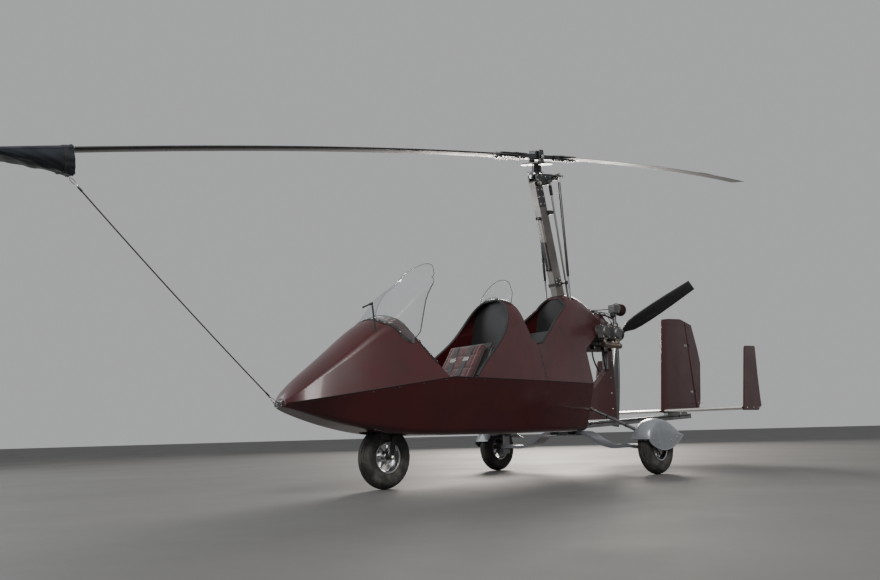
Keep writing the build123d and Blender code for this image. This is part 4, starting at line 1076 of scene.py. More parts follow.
@dataclass
class RotorBlades:
    """Fasteners, doublers, edge strips and end caps of the two blades."""

    spans: tuple[Span, Span] = (Span(True), Span(False))
    grip_face: float = 0.0193
    blade_half: float = 0.011
    nose: float = 0.06
    tail: float = -0.14
    strip_start: float = 0.64
    strip_ends: tuple[float, float] = (3.84, 4.19)
    tab_start: float = 2.9
    tab_length: float = 0.34

    def grips(self) -> None:
        """Bolt the blade grips through, with a row of heads above and nuts below."""
        bolts, blocks = Kit(), Kit()
        rows = {0.215: (-0.028, 0.028), 0.255: (-0.028, 0.028), 0.29: (-0.028, 0.028), 0.36: (-0.04, 0.012),
                0.405: (-0.04, 0.012), 0.45: (-0.04, 0.012), 0.495: (-0.04, 0.012), 0.518: (-0.014,)}
        for span in self.spans:
            for radius, spots in rows.items():
                place = span.at(radius)
                for x in spots:
                    for face in SIDES:
                        bolts.bolt(place @ Vector((x, face * self.grip_face, 0)), turned(place, 0, face, 0),
                                   0.0085, 0.9)
            for radius in (0.31, 0.335):
                for face in SIDES:
                    low, high = sorted((face * self.grip_face, face * (self.grip_face + 0.006)))
                    blocks.box((-0.05, low, -0.006), (0.05, high, 0.006), span.at(radius))
            for side in SIDES:
                low, high = sorted((side * 0.04, side * 0.052))
                blocks.box((low, -0.012, -0.03), (high, 0.012, 0.03), span.at(0.232))
        bolts.piece("grip_bolts", BRIGHT_METAL, Rig.ROTOR, bevel=0.0004)
        blocks.piece("grip_blocks", HEAD_METAL, Rig.ROTOR, bevel=0.0015)

    def nose_outline(self, degrees: Sequence[float], rise: float = 0.0) -> list[tuple[float, float]]:
        """Section of a blade's nose, by angle from its underside to its top, and by rise off its skin."""
        turns = [math.radians(turn) for turn in degrees]
        return [((self.nose + rise) * math.cos(t), (self.blade_half + rise) * math.sin(t)) for t in turns]

    def edges(self) -> None:
        """Lay the dark wear strip around each leading edge."""
        kit = Kit()
        outline = self.nose_outline((-58, -42, -26, -12, 0, 12, 26, 42, 58), 0.0005)
        for span, last in zip(self.spans, self.strip_ends):
            length = last - self.strip_start
            kit.skin([span.ring(self.strip_start + length * share, outline) for share in shares(40)], False,
                     False)
        kit.piece("leading_edge_strips", DARK_METAL, Rig.ROTOR, smooth=80)

    def skin_height(self, x: float) -> float:
        """Half thickness of a blade at a distance from its middle line."""
        if x < 0:
            return self.blade_half * (1 - x / self.tail * 0.9)
        return self.blade_half * math.sqrt(1 - (x / self.nose) ** 2)

    def doublers(self) -> None:
        """Bond tapered doublers over the blade roots, with their rivets."""
        kit, rivets = Kit(), Kit()
        for span in self.spans:
            for face in SIDES:
                rings = []
                for radius, low, high in ((0.532, -0.06, 0.045), (0.575, -0.056, 0.042), (0.62, -0.03, 0.03),
                                          (0.64, -0.008, 0.01)):
                    corners = ((low, 0.0), (low, 0.0022), (high, 0.0022), (high, 0.0))
                    outline = [(x, face * (self.skin_height(x) - 0.0006 + lift)) for x, lift in corners]
                    rings.append(span.ring(radius, outline))
                kit.skin(rings)
                for radius, x in ((0.552, -0.035), (0.552, 0.012), (0.6, -0.012)):
                    place = span.at(radius)
                    skin = self.skin_height(min(0.0, x))
                    spot = place @ Vector((x, face * (skin + 0.0012), 0))
                    rivets.button((spot, turned(place, 0, face, 0)),
                                  [(0.0045, 0), (0.004, 0.0012), (0.0012, 0.0022)])
        kit.piece("root_doublers", HEAD_METAL, Rig.ROTOR, bevel=0.0004)
        rivets.piece("root_rivets", BRIGHT_METAL, Rig.ROTOR)

    def ends(self) -> None:
        """Close the rear blade's tip and fit the trim tabs."""
        kit, tabs = Kit(), Kit()
        rear = self.spans[1]
        outline = [*self.nose_outline([-90 + 180 * share for share in shares(12)]),
                   (self.tail, 0.0012), (self.tail, -0.0012)]
        kit.skin([rear.ring(radius, [(x * (size if x > 0 else 1.0), y * size) for x, y in outline])
                  for radius, size in ((4.1985, 1.03), (4.2035, 1.0), (4.206, 0.86))])
        kit.piece("blade_end_cap", CARBON, Rig.ROTOR, bevel=0.0006)
        tab = ((-0.118, 0.0026), (-0.118, 0.0038), (-0.14, 0.0022), (-0.156, 0.0026), (-0.156, 0.0014),
               (-0.14, 0.001))
        for span in self.spans:
            tabs.skin([span.ring(self.tab_start + self.tab_length * share, tab) for share in shares(6)])
        tabs.piece("trim_tabs", BLADE_METAL, Rig.ROTOR, bevel=0.0002)

    def build(self) -> None:
        """Dress both blades."""
        self.grips()
        self.edges()
        self.doublers()
        self.ends()


@dataclass
class TipCover:
    """Fabric pocket that is pulled over the front blade's tip, with its hem and straps."""

    span: Span = field(default_factory=lambda: Span(True))
    mouth: float = 3.85
    end: float = 4.206
    nose: float = 0.066
    tail: float = -0.146
    above: float = 0.0165
    deep: float = 0.131
    shallow: float = 0.0175
    rings: int = 46
    sides: int = 96

    def outline(self, share: float, turn: float) -> tuple[float, float]:
        """Place on the pocket's cross outline at a share of its length and a turn."""
        low = self.deep + (self.shallow - self.deep) * (share**0.86)
        half_x = (self.nose - self.tail) / 2
        mid_x = (self.nose + self.tail) / 2
        c, s = math.cos(turn), math.sin(turn)
        x = mid_x + half_x * math.copysign(abs(c) ** 0.42, c)
        if s >= 0:
            return x, self.above * abs(s) ** 0.55
        drawn_in = 1 - 0.3 * (abs(s) ** 2) * min(1.0, low / self.deep)
        return mid_x + (x - mid_x) * drawn_in, -low * abs(s) ** 0.72

    def folds(self, share: float, turn: float) -> float:
        """Depth of the folds at a place on the pocket, in metres."""
        slack = max(0.0, -math.sin(turn)) * (1 - 0.6 * share)
        pull = 0.0042 * math.sin(5.0 * turn + 6.5 * share) * slack
        run = 0.0034 * math.sin(19.0 * share + 2.2 * math.cos(turn)) * slack * (0.4 + 0.6 * share)
        fine = 0.0016 * math.sin(11.0 * turn - 24.0 * share) * (0.35 + slack)
        gather = 0.003 * math.sin(17.0 * turn) * max(0.0, 1 - share * 7)
        return pull + run + fine + gather

    def point(self, share: float, k: int) -> Vector:
        """Place on the pocket at a share of its length and a step around it."""
        turn = 2 * math.pi * k / self.sides
        x, y = self.outline(share, turn)
        push = self.folds(share, turn)
        place = self.span.at(self.mouth + (self.end - self.mouth) * share)
        return place @ Vector((x + push * math.cos(turn) * 0.7, y + push * math.sin(turn), 0))

    def strap(self, lip: Vector) -> bpy.types.Object:
        """Sew the strap around the pocket, square to its lip's direction."""
        ring = [self.point(0.1, k) for k in range(self.sides)]
        band, faces = [], []
        for k in range(self.sides + 1):
            near, beside = ring[k % self.sides], ring[(k + 1) % self.sides]
            face = (beside - near).cross(lip).normalized()
            middle = self.span.at(self.mouth + 0.036).translation - ring[self.sides // 4] + near
            band.append(near + (face if face.dot(near - middle) > 0 else -face) * 0.0004)
            faces.append(face)
        centre = sum(band, Vector()) / len(band)
        kit = Kit()
        kit.strap(band, [f if f.dot(p - centre) > 0 else -f for f, p in zip(faces, band)], 0.022, 0.0016)
        return kit.piece("tip_cover_strap", WEBBING, Rig.ROTOR)

    def build(self) -> None:
        """Build the pocket, its hem, its centre seam and its strap."""
        kit, hem, seam = Kit(), Kit(), Kit()
        kit.skin([[self.point(share, k) for k in range(self.sides)] for share in shares(self.rings)],
                 caps=False)
        inside = self.span.at(self.mouth).inverted()
        end = [v for v in kit.bm.verts if v.is_boundary and (inside @ v.co).z > 0.2]
        rim = [e for e in kit.bm.edges if e.is_boundary and e.verts[0] in end]
        bmesh.ops.contextual_create(kit.bm, geom=rim)
        pocket = kit.piece("tip_cover_cloth", COVER_CLOTH, Rig.ROTOR, smooth=70, replaces=["tip_cover"])
        sheet = pocket.modifiers.new("sheet", "SOLIDIFY")
        sheet.thickness = 0.0014
        sheet.offset = -1.0
        lip = turned(self.span.at(self.mouth), 0, 0, 1)
        hem.tube([self.point(0.0, k % self.sides) + lip * 0.001 for k in range(self.sides + 1)], 0.0032, 8)
        hem_piece = hem.piece("tip_cover_hem", COVER_CLOTH, Rig.ROTOR, smooth=60)
        for k in (0, self.sides // 2):
            seam.tube([self.point(share, k) for share in shares(self.rings)], 0.0016, 6)
        seam_piece = seam.piece("tip_cover_seams", COVER_CLOTH, Rig.ROTOR, smooth=60)
        self.strap(lip)


@dataclass
class TieLine:
    """Taut line from the tip cover down to the nose hook, with a snap hook at each end."""

    foot: Vector = fixed(0, -2.574, 0.536)
    radius: float = 0.0042
    strands: int = 3
    turns: int = 62
    sag: float = 0.012

    def build(self) -> None:
        """Twist the line's strands and fit its hooks."""
        top = Span(True).at(3.853) @ Vector((-0.04, -0.139, 0))
        run = (self.foot - top).normalized()
        start, end = top + run * 0.05, self.foot - run * 0.06
        side = run.cross(X_AXIS).normalized()
        over = run.cross(side)
        kit, hooks, whip = Kit(), Kit(), Kit()
        for strand in range(self.strands):
            path = []
            for share in shares(420):
                turn = 2 * math.pi * (strand / self.strands + share * self.turns)
                off = (side * math.cos(turn) + over * math.sin(turn)) * self.radius * 0.5
                path.append(start.lerp(end, share) - Z_AXIS * (self.sag * 4 * share * (1 - share)) + off)
            kit.tube(path, self.radius * 0.55, 5, up=X_AXIS)
        kit.piece("tie_down_line", ROPE, smooth=80)
        for spot, way in ((start, -run), (end, run)):
            wide = way.cross(X_AXIS).normalized()
            loop = [spot - way * 0.004]
            for share in shares(24):
                turn = math.pi * (-0.5 + 2 * share)
                loop.append(spot + way * (0.032 + 0.02 * math.sin(turn)) + wide * (0.008 * math.cos(turn)))
            hooks.tube(loop, 0.0022, 8, up=X_AXIS)
            hooks.lathe([(0.0055, -0.002), (0.0065, 0.002), (0.0065, 0.01), (0.004, 0.014)],
                        spot - way * 0.006, way, 18)
            whip.lathe([(0.0048, 0), (0.0056, 0.001), (0.0056, 0.034), (0.0046, 0.036)], spot + way * 0.002,
                       -way, 14)
        hooks.piece("tie_down_hooks", BRIGHT_METAL)
        whip.piece("tie_down_whippings", RUBBER)


@dataclass
class RotorHead:
    """Fasteners, bearings, teeth and seals of the head."""

    pivot: Vector = fixed(0, -0.031124, 2.455)
    head_pitch: float = math.radians(12)
    span: Span = field(default_factory=lambda: Span(False))

    def gimbal(self) -> None:
        """Fit the gimbal's pivot nuts, bearing eyes and stop bolts."""
        rise = Vector((0, -math.sin(self.head_pitch), math.cos(self.head_pitch)))
        place = axes(self.pivot, X_AXIS, rise)
        nuts, eyes = Kit(), Kit()
        for side in SIDES:
            way = X_AXIS * side
            nuts.bolt(place @ Vector((side * 0.0455, 0, 0)), way, 0.015, 0.7)
            for y, z in ((-0.018, 0.07), (0.04, 0.07), (-0.018, 0.03), (0.165, 0.052), (0.29, 0.056)):
                nuts.bolt(place @ Vector((side * 0.0455, y, z)), way, 0.0075)
            eyes.lathe([(0.0085, -0.007), (0.0165, -0.007), (0.018, -0.005), (0.018, 0.005), (0.0165, 0.007),
                        (0.0085, 0.007)], place @ Vector((side * 0.106, 0.182, 0.052)), way, 28, True)
            nuts.bolt(place @ Vector((side * 0.139, 0.182, 0.052)), way, 0.011, 0.5)
            nuts.bolt(place @ Vector((side * 0.094, 0.29, 0.056)), way, 0.009, 0.5)
        nuts.bolt(place @ Vector((0, -0.048, 0.068)), turned(place, 0, -1, 0), 0.012, 0.7)
        nuts.piece("gimbal_fasteners", BRIGHT_METAL, Rig.HEAD, bevel=0.0004)
        eyes.piece("control_bar_eyes", HEAD_METAL, Rig.HEAD, bevel=0.0005)

    def spin(self) -> None:
        """Fit bearing rings, the gear's teeth and the tower's fasteners."""
        data = joint("rotor_spin")
        axis = Vector(data["axis"])
        place = axes(Vector(data["pos_m"]), self.span.across, axis)
        rings, teeth, bolts = Kit(), Kit(), Kit()
        for low in (0.05, 0.066, 0.09):
            rings.lathe([(0.042, low), (0.0445, low + 0.001), (0.0445, low + 0.005), (0.042, low + 0.006)],
                        place.translation, axis, 48)
        for c, s in around(6):
            rings.bolt(place @ Vector((0.034 * c, 0.034 * s, 0.0995)), axis, 0.005)
        rings.piece("bearing_rings", HEAD_METAL, Rig.ROLL_HEAD, bevel=0.0004)

        def cog(i: int, k: int) -> float:
            """Raise two of every four steps of the outer rows."""
            return 0.0034 if i in (1, 2) and k % 4 in (1, 2) else 0.0

        teeth.lathe([(0.1345, 0.1056), (0.1375, 0.1056), (0.1375, 0.1144), (0.1345, 0.1144)],
                    place.translation,
                    axis, 480, True, cog)
        teeth.piece("ring_gear_teeth", HEAD_METAL, Rig.SPINNER, smooth=20)
        for side in SIDES:
            way = turned(place, side, 0, 0)
            bolts.bolt(place @ Vector((side * 0.0642, 0, 0.172)), way, 0.0125, 0.7)
            for y in (-0.026, 0.026):
                for z in (0.136, 0.15):
                    bolts.bolt(place @ Vector((side * 0.057, y, z)), way, 0.0055)
            for y in (-0.034, 0.034):
                bolts.bolt(place @ Vector((side * 0.03, y, 0.126)), axis, 0.006, socket=True)
        for c, s in around(6, 0.5):
            bolts.bolt(place @ Vector((0.066 * c, 0.066 * s, 0.114)), axis, 0.0055, socket=True)
        bolts.piece("teeter_tower_fasteners", BRIGHT_METAL, Rig.SPINNER, bevel=0.0003)

    def rods(self) -> None:
        """Fit rod ends and lock nuts on the control rods and boots on the shaft."""
        ends, tubes, boot = Kit(), Kit(), Kit()
        for side in SIDES:
            top, foot = Vector((side * 0.125, 0.136088, 2.543704)), Vector((side * 0.125, 0.2, 1.4))
            way = (foot - top).normalized()
            ends.lathe([(0.0085, -0.008), (0.017, -0.008), (0.0185, -0.005), (0.0185, 0.005), (0.017, 0.008),
                        (0.0085, 0.008)], top, X_AXIS, 28, True)
            ends.lathe([(0.0095, 0), (0.0115, 0.001), (0.0115, 0.026), (0.0095, 0.027)], top + way * 0.026,
                       way, 20)
            ends.lathe([(0.013, 0), (0.013, 0.007)], top + way * 0.056, way, 6)
            tubes.lathe([(0.0082, 0), (0.012, 0.012), (0.012, 0.83), (0.0082, 0.842)], top + way * 0.066,
                        way, 20)
        ends.piece("push_rod_ends", BRIGHT_METAL, Rig.RODS, bevel=0.0003)
        tubes.piece("push_rod_tubes", HEAD_METAL, Rig.RODS, bevel=0.0004)
        top, foot = Vector((0.062, 0.085215, 2.48484)), Vector((0.062, 0.268, 1.4))
        rows = [(0.0165 if i % 2 else 0.0125, 0.03 + 0.006 * i) for i in range(15)]
        boot.lathe([(0.0092, 0.026), *rows, (0.0092, 0.12)], top, foot - top, 28)
        boot.piece("drive_shaft_boot", RUBBER, Rig.SHAFT)

    def block(self) -> None:
        """Bolt the teeter block over and under the hub bar, between the towers."""
        place = axes(self.span.hub, self.span.across, self.span.over)
        kit, bolts = Kit(), Kit()
        outline = [(-0.0395, -0.047), (-0.031, -0.056), (0.031, -0.056), (0.0395, -0.047),
                   (0.0395, 0.047), (0.031, 0.056), (-0.031, 0.056), (-0.0395, 0.047)]
        for low, high in ((-0.026, -0.0188), (0.0188, 0.05)):
            kit.plate([place @ Vector((x, y, low)) for x, y in outline], turned(place, 0, 0, high - low))
        for x in (-0.026, 0.026):
            for y in (-0.041, 0.041):
                bolts.bolt(place @ Vector((x, y, 0.05)), self.span.over, 0.0078, 1.0)
        kit.piece("teeter_block", HEAD_METAL, Rig.ROTOR, bevel=0.0025)
        bolts.piece("teeter_block_bolts", BRIGHT_METAL, Rig.ROTOR, bevel=0.0003)

    def build(self) -> None:
        """Dress the whole head."""
        self.block()
        self.gimbal()
        self.spin()
        self.rods()


@dataclass
class MastDetails:
    """Gussets, bolts, cables and clips of the mast."""

    foot_y: float = 0.262
    bend_z: float = 1.215
    lean: float = math.radians(13.3)
    half_width: float = 0.03
    half_depth: float = 0.053
    plate_thick: float = 0.0035
    strut_gap: float = 0.022

    def at(self, height: float) -> Matrix:
        """Frame of the mast at a height: x to port, y aft, z up along it."""
        if height <= self.bend_z:
            return axes((0, self.foot_y, height), X_AXIS, Z_AXIS)
        spot = Vector((0, self.foot_y - (height - self.bend_z) * math.tan(self.lean), height))
        return axes(spot, X_AXIS, Vector((0, -math.sin(self.lean), math.cos(self.lean))))

    def plates(self) -> None:
        """Rivet gussets over the bend and cheek plates under the head."""
        plates, bolts = Kit(), Kit()
        cut = 0.012
        for side in SIDES:
            near = side * self.half_width
            for height, tall, deep in ((2.34, 0.09, 0.047), (1.6, 0.035, 0.045)):
                place = self.at(height)
                outline = [(-deep, -tall + cut), (-deep + cut, -tall), (deep - cut, -tall),
                           (deep, -tall + cut),
                           (deep, tall - cut), (deep - cut, tall), (-deep + cut, tall), (-deep, tall - cut)]
                plates.plate([place @ Vector((near, y, z)) for y, z in outline],
                             turned(place, side * self.plate_thick, 0, 0))
                for y in (-0.028, 0.028):
                    for z in (-tall * 0.7, 0, tall * 0.7):
                        bolts.bolt(place @ Vector((near + side * self.plate_thick, y, z)), X_AXIS * side,
                                   0.0068)
        plates.piece("mast_cheek_plates", HEAD_METAL, bevel=0.0006)
        bolts.piece("mast_bolts", BRIGHT_METAL, bevel=0.0003)

    def cables(self) -> None:
        """Run the brake and spin-up cables up the mast's aft face, held by clips."""
        cables, clips = Kit(), Kit()
        for x, radius, top in ((-0.014, 0.0042, 2.39), (0.0, 0.0032, 2.36), (0.013, 0.005, 2.3)):
            path = []
            for share in shares(32):
                height = 1.3 + (top - 1.3) * share
                wave = 0.0014 * math.sin(height * 23 + x * 400)
                path.append(self.at(height) @ Vector((x + wave, self.half_depth + radius + 0.0006, 0)))
            cables.tube(path, radius, 8)
        clip = ((-0.022, 0.0), (-0.021, 0.0095), (-0.012, 0.0125), (0.012, 0.0125), (0.021, 0.0115),
                (0.022, 0.0))
        for i in range(6):
            place = self.at(1.42 + 0.17 * i)
            clips.strap([place @ Vector((x, self.half_depth + y, 0)) for x, y in clip],
                        [turned(place, x * 12, 1, 0) for x, _ in clip], 0.009, 0.0014)
        cables.piece("mast_cables", RUBBER, smooth=70)
        clips.piece("mast_cable_clips", DARK_METAL)

    def strut(self) -> None:
        """Fit the small gas strut and its brackets on the mast's fore face."""
        kit, rod = Kit(), Kit()
        ends = (self.at(1.72), self.at(2.16))
        middle = -self.half_depth - self.strut_gap
        foot, top = (place @ Vector((0, middle, 0)) for place in ends)
        kit.lathe([(0.008, 0), (0.0115, 0.003), (0.0115, 0.24), (0.009, 0.245)], foot, top - foot, 24)
        rod.lathe([(0.0045, 0.24), (0.0045, (top - foot).length)], foot, top - foot, 16)
        for place in ends:
            for side in SIDES:
                low, high = sorted((side * 0.007, side * 0.01))
                kit.box((low, middle - 0.012, -0.012), (high, -self.half_depth, 0.012), place)
            rod.bolt(place @ Vector((0.01, middle, 0)), X_AXIS, 0.0065)
        kit.piece("trim_strut_body", DARK_METAL, bevel=0.0006)
        rod.piece("trim_strut_rod", BRIGHT_METAL)

    def brackets(self) -> None:
        """Fit the stop bracket between the rods and the cable bracket behind the mast."""
        kit, bolts = Kit(), Kit()
        foot = self.at(1.585)
        kit.box((-0.095, 0.022, -0.006), (0.095, 0.046, 0.006), foot)
        kit.box((-0.042, -0.0535, -0.012), (0.042, 0.0535, 0.012), foot)
        for side in SIDES:
            kit.lathe([(0.009, -0.016), (0.0115, -0.014), (0.0115, 0.014), (0.009, 0.016)],
                      foot @ Vector((side * 0.092, 0.034, 0)), turned(foot, 0, 0, 1), 28)
            bolts.bolt(foot @ Vector((side * 0.042, 0.0, 0)), X_AXIS * side, 0.008)
        back = self.at(2.2)
        kit.box((-0.024, 0.0525, -0.02), (0.044, 0.062, 0.02), back)
        outline = ((0.0615, -0.017), (0.1, -0.017), (0.116, -0.007), (0.116, 0.01), (0.105, 0.017),
                   (0.0615, 0.017))
        kit.plate([back @ Vector((0.012, y, z)) for y, z in outline], X_AXIS * 0.032)
        for z in (-0.0085, 0.0085):
            bolts.bolt(back @ Vector((-0.013, 0.062, z)), turned(back, 0, 1, 0), 0.0048)
        bolts.bolt(back @ Vector((0.012, 0.1, 0)), -X_AXIS, 0.007)
        kit.piece("mast_brackets", DARK_METAL, bevel=0.0012)
        bolts.piece("mast_bracket_bolts", BRIGHT_METAL, bevel=0.0003)

    def build(self) -> None:
        """Dress the mast."""
        self.brackets()
        self.plates()
        self.cables()
        self.strut()


@dataclass
class Engine:
    """Castings, fasteners, leads, hoses and filters around the engine."""

    rows: tuple[float, float] = (0.5, 0.68)
    head_face: float = 0.262
    head_high: float = 1.226
    axis_z: float = 1.17
    intake_x: float = 0.238

    def covers(self) -> None:
        """Fit ribbed rocker covers with their screws, and plugs with rubber boots."""
        covers, screws, boots = Kit(), Kit(), Kit()
        dome = [(0.05, -0.002), (0.05, 0.006), (0.046, 0.01), (0.044, 0.016), (0.03, 0.0185), (0.004, 0.019)]
        for side in SIDES:
            out = X_AXIS * side
            for y in self.rows:
                middle = Vector((side * self.head_face, y, self.axis_z))
                place = axes(middle, Y_AXIS * side, out)
                covers.lathe(dome, middle, out, 48)
                for step in (-0.026, -0.013, 0.0, 0.013, 0.026):
                    reach = math.sqrt(0.04**2 - step**2)
                    covers.box((-reach, step - 0.0017, 0.012), (reach, step + 0.0017, 0.0215), place)
                for u in (-0.044, 0.044):
                    for v in (-0.044, 0.044):
                        screws.bolt(place @ Vector((u, v, 0)), out, 0.0055, socket=True)
                for step in (-0.03, 0.03):
                    foot = Vector((side * self.intake_x, y + step * 1.35, self.head_high))
                    if y == self.rows[1] and step < 0:
                        foot.y -= 0.012
                    screws.lathe([(0.0075, 0), (0.0075, 0.006)], foot, Z_AXIS, 6)
                    boots.lathe([(0.0075, 0.005), (0.0085, 0.008), (0.008, 0.03), (0.0055, 0.036)], foot,
                                Z_AXIS, 20)
                    coil = Vector((side * 0.05, 0.53 + (y - 0.5) * 0.5 + step * 0.5, 1.334))
                    lean = Vector((side * 0.16, (foot.y + coil.y) / 2, 1.4 + abs(step)))
                    boots.tube(arc_points(foot + Z_AXIS * 0.034, lean, coil, 18), 0.0036, 8)
        covers.piece("rocker_covers", ENGINE_METAL, bevel=0.0008)
        screws.piece("rocker_cover_screws", BRIGHT_METAL, bevel=0.0003)
        boots.piece("plug_leads", RUBBER, smooth=60)

    def fins(self) -> None:
        """Cast cooling fins around the barrels."""
        kit = Kit()
        for side in SIDES:
            for y in self.rows:
                for i in range(11):
                    low = 0.092 + 0.0112 * i
                    fin = [(0.0545, low), (0.0635, low + 0.0012), (0.0635, low + 0.0028),
                           (0.0545, low + 0.004)]
                    kit.lathe(fin, Vector((0, y, self.axis_z)), X_AXIS * side, 40, True)
        kit.piece("barrel_fins", ENGINE_METAL)

    def crankcase(self) -> None:
        """Fit ignition housing, ribs, case bolts and the oil filter."""
        kit, bolts, dark = Kit(), Kit(), Kit()
        for i in range(7):
            y = 0.45 + 0.05 * i
            for side in SIDES:
                low, high = sorted((side * 0.08, side * 0.086))
                for foot, top in ((1.09, 1.108), (1.234, 1.272)):
                    kit.box((low, y, foot), (high, y + 0.006, top))
                bolts.bolt((side * 0.068, y + 0.02, 1.28), Z_AXIS, 0.006, socket=True)
        kit.box((-0.05, 0.48, 1.33), (0.05, 0.62, 1.352))
        kit.box((-0.046, 0.64, 1.33), (0.046, 0.74, 1.344))
        for x in (-0.035, 0.035):
            for y, top in ((0.492, 1.352), (0.608, 1.352), (0.652, 1.344), (0.728, 1.344)):
                bolts.bolt((x, y, top), Z_AXIS, 0.005, socket=True)
        dark.lathe([(0.02, 0), (0.034, 0.002), (0.034, 0.06), (0.03, 0.068), (0.012, 0.07)], (0, 0.42, 1.13),
                   -Y_AXIS, 40)
        dark.lathe([(0.03, 0), (0.03, 0.035), (0.024, 0.04)], (-0.035, 0.42, 1.22), -Y_AXIS, 36)
        kit.piece("crankcase_castings", ENGINE_METAL, bevel=0.0012)
        bolts.piece("crankcase_bolts", BRIGHT_METAL, bevel=0.0003)
        dark.piece("oil_filter_and_starter", DARK_METAL, bevel=0.0008)

    def induction(self) -> None:
        """Fit pleated filters, float bowls, clamps and the balance pipe."""
        pleats, caps, clamps = Kit(), Kit(), Kit()

        def fold(i: int, k: int) -> float:
            """Draw every other step in."""
            return -0.0034 if i in (1, 2) and k % 2 else 0.0

        for side in SIDES:
            x = side * self.intake_x
            middle = Vector((x, 0.712, 1.388))
            pleats.lathe([(0.046, 0.006), (0.053, 0.008), (0.053, 0.076), (0.046, 0.078)], middle, Y_AXIS,
                         128,
                         shape=fold)
            caps.lathe([(0.02, 0.0765), (0.053, 0.0765), (0.0545, 0.079), (0.0545, 0.087), (0.05, 0.09),
                        (0.02, 0.0905)], middle, Y_AXIS, 48, True)
            caps.lathe([(0.03, -0.001), (0.0535, 0.0), (0.0545, 0.003), (0.0545, 0.009), (0.03, 0.01)],
                       middle,
                       Y_AXIS, 48, True)
            for z in (1.335, 1.24):
                clamps.collar((x, 0.68, z - 0.006), Z_AXIS, (0.0172, 0.0205), 0.012)
            caps.lathe([(0.0235, 0), (0.0235, 0.03), (0.02, 0.034)], (x, 0.662, 1.352), -Z_AXIS, 32)
            clamps.bolt((side * 0.262, 0.68, 1.335), Y_AXIS, 0.005)
            caps.tube([(side * 0.03, 0.58, 1.352), (side * 0.05, 0.57, 1.375), (side * 0.09, 0.575, 1.385),
                       (side * 0.16, 0.62, 1.385), (side * 0.21, 0.645, 1.385)], 0.004, 8)
        caps.tube(arc_points((-0.222, 0.68, 1.3), (0, 0.72, 1.44), (0.222, 0.68, 1.3), 24), 0.0085, 12)
        pleats.piece("air_filter_pleats", FILTER_CLOTH, smooth=20)
        caps.piece("air_filter_rubbers", RUBBER, bevel=0.0006)
        clamps.piece("induction_clamps", BRIGHT_METAL)

    def drive(self) -> None:
        """Fit the gearbox's ribs and bolts and the exhaust's flanges and springs."""
        kit, bolts, tin = Kit(), Kit(), Kit()
        centre = Vector((0, 0.95, 1.217))
        for c, s in around(10):
            out = Vector((c, 0, s))
            bolts.bolt(centre + out * 0.074, Y_AXIS, 0.0068, 0.5)
            side = Y_AXIS.cross(out)
            kit.skin([[centre + out * reach + side * w + Y_AXIS * a
                       for w, a in ((-0.003, -0.001), (0.003, -0.001), (0.003, rise), (-0.003, rise))]
                      for reach, rise in ((0.036, 0.009), (0.062, 0.004))])
        kit.lathe([(0.0275, 0), (0.036, 0), (0.036, 0.008), (0.033, 0.011), (0.0275, 0.011)],
                  centre - Y_AXIS * 0.0005, Y_AXIS, 48, True)
        for y in (0.812, 0.842, 0.93):
            kit.lathe([(0.084, 0), (0.089, 0.0008), (0.089, 0.007), (0.084, 0.008)], (0, y, 1.217), Y_AXIS,
                      64, True)
        for side in SIDES:
            x = side * self.intake_x
            for y in self.rows:
                tin.collar((x, y, 1.1135), Z_AXIS, (0.0192, 0.03), -0.006)
                for step in (-0.024, 0.024):
                    bolts.bolt((x + step, y, 1.1075), -Z_AXIS, 0.0052)
            for y in (0.5, 0.6, 0.7):
                tin.collar((x, y, 1.06), Y_AXIS, (0.0242, 0.0268), 0.013, 0.001, 36)
        kit.piece("gearbox_ribs", ENGINE_METAL, bevel=0.0006)
        bolts.piece("drive_bolts", BRIGHT_METAL, bevel=0.0003)
        tin.piece("exhaust_bands", EXHAUST_METAL, bevel=0.0005)

    def pylon(self) -> None:
        """Fit mount bushings, side flanges and hoses on the engine's pylon."""
        bushes, bolts, hoses = Kit(), Kit(), Kit()
        for side in SIDES:
            out = X_AXIS * side
            for y in (0.46, 0.62, 0.78, 0.9):
                bushes.lathe([(0.011, 0), (0.016, 0.002), (0.016, 0.016), (0.011, 0.018)],
                             (side * 0.032, y, 1.061),
                             out, 28)
                bolts.bolt((side * 0.05, y, 1.061), out, 0.0075)
            for y, z in ((0.875, 0.52), (0.875, 0.66), (0.875, 0.8), (0.915, 0.96)):
                bolts.bolt((side * 0.032, y, z), out, 0.0065)
            hoses.tube(arc_points((side * 0.055, 0.44, 1.1), (side * 0.075, 0.36, 0.9),
                                  (side * 0.045, 0.34, 0.6), 20),
                       0.009, 12)
            hoses.tube(arc_points((side * 0.062, 0.75, 1.085), (side * 0.06, 0.72, 0.98),
                                  (side * 0.038, 0.8, 0.86), 16),
                       0.007, 12)
        bushes.piece("engine_mount_bushes", RUBBER)
        bolts.piece("engine_mount_bolts", BRIGHT_METAL, bevel=0.0003)
        hoses.piece("engine_hoses", RUBBER, smooth=70)

    def build(self) -> None:
        """Dress the engine."""
        self.covers()
        self.fins()
        self.crankcase()
        self.induction()
        self.drive()
        self.pylon()


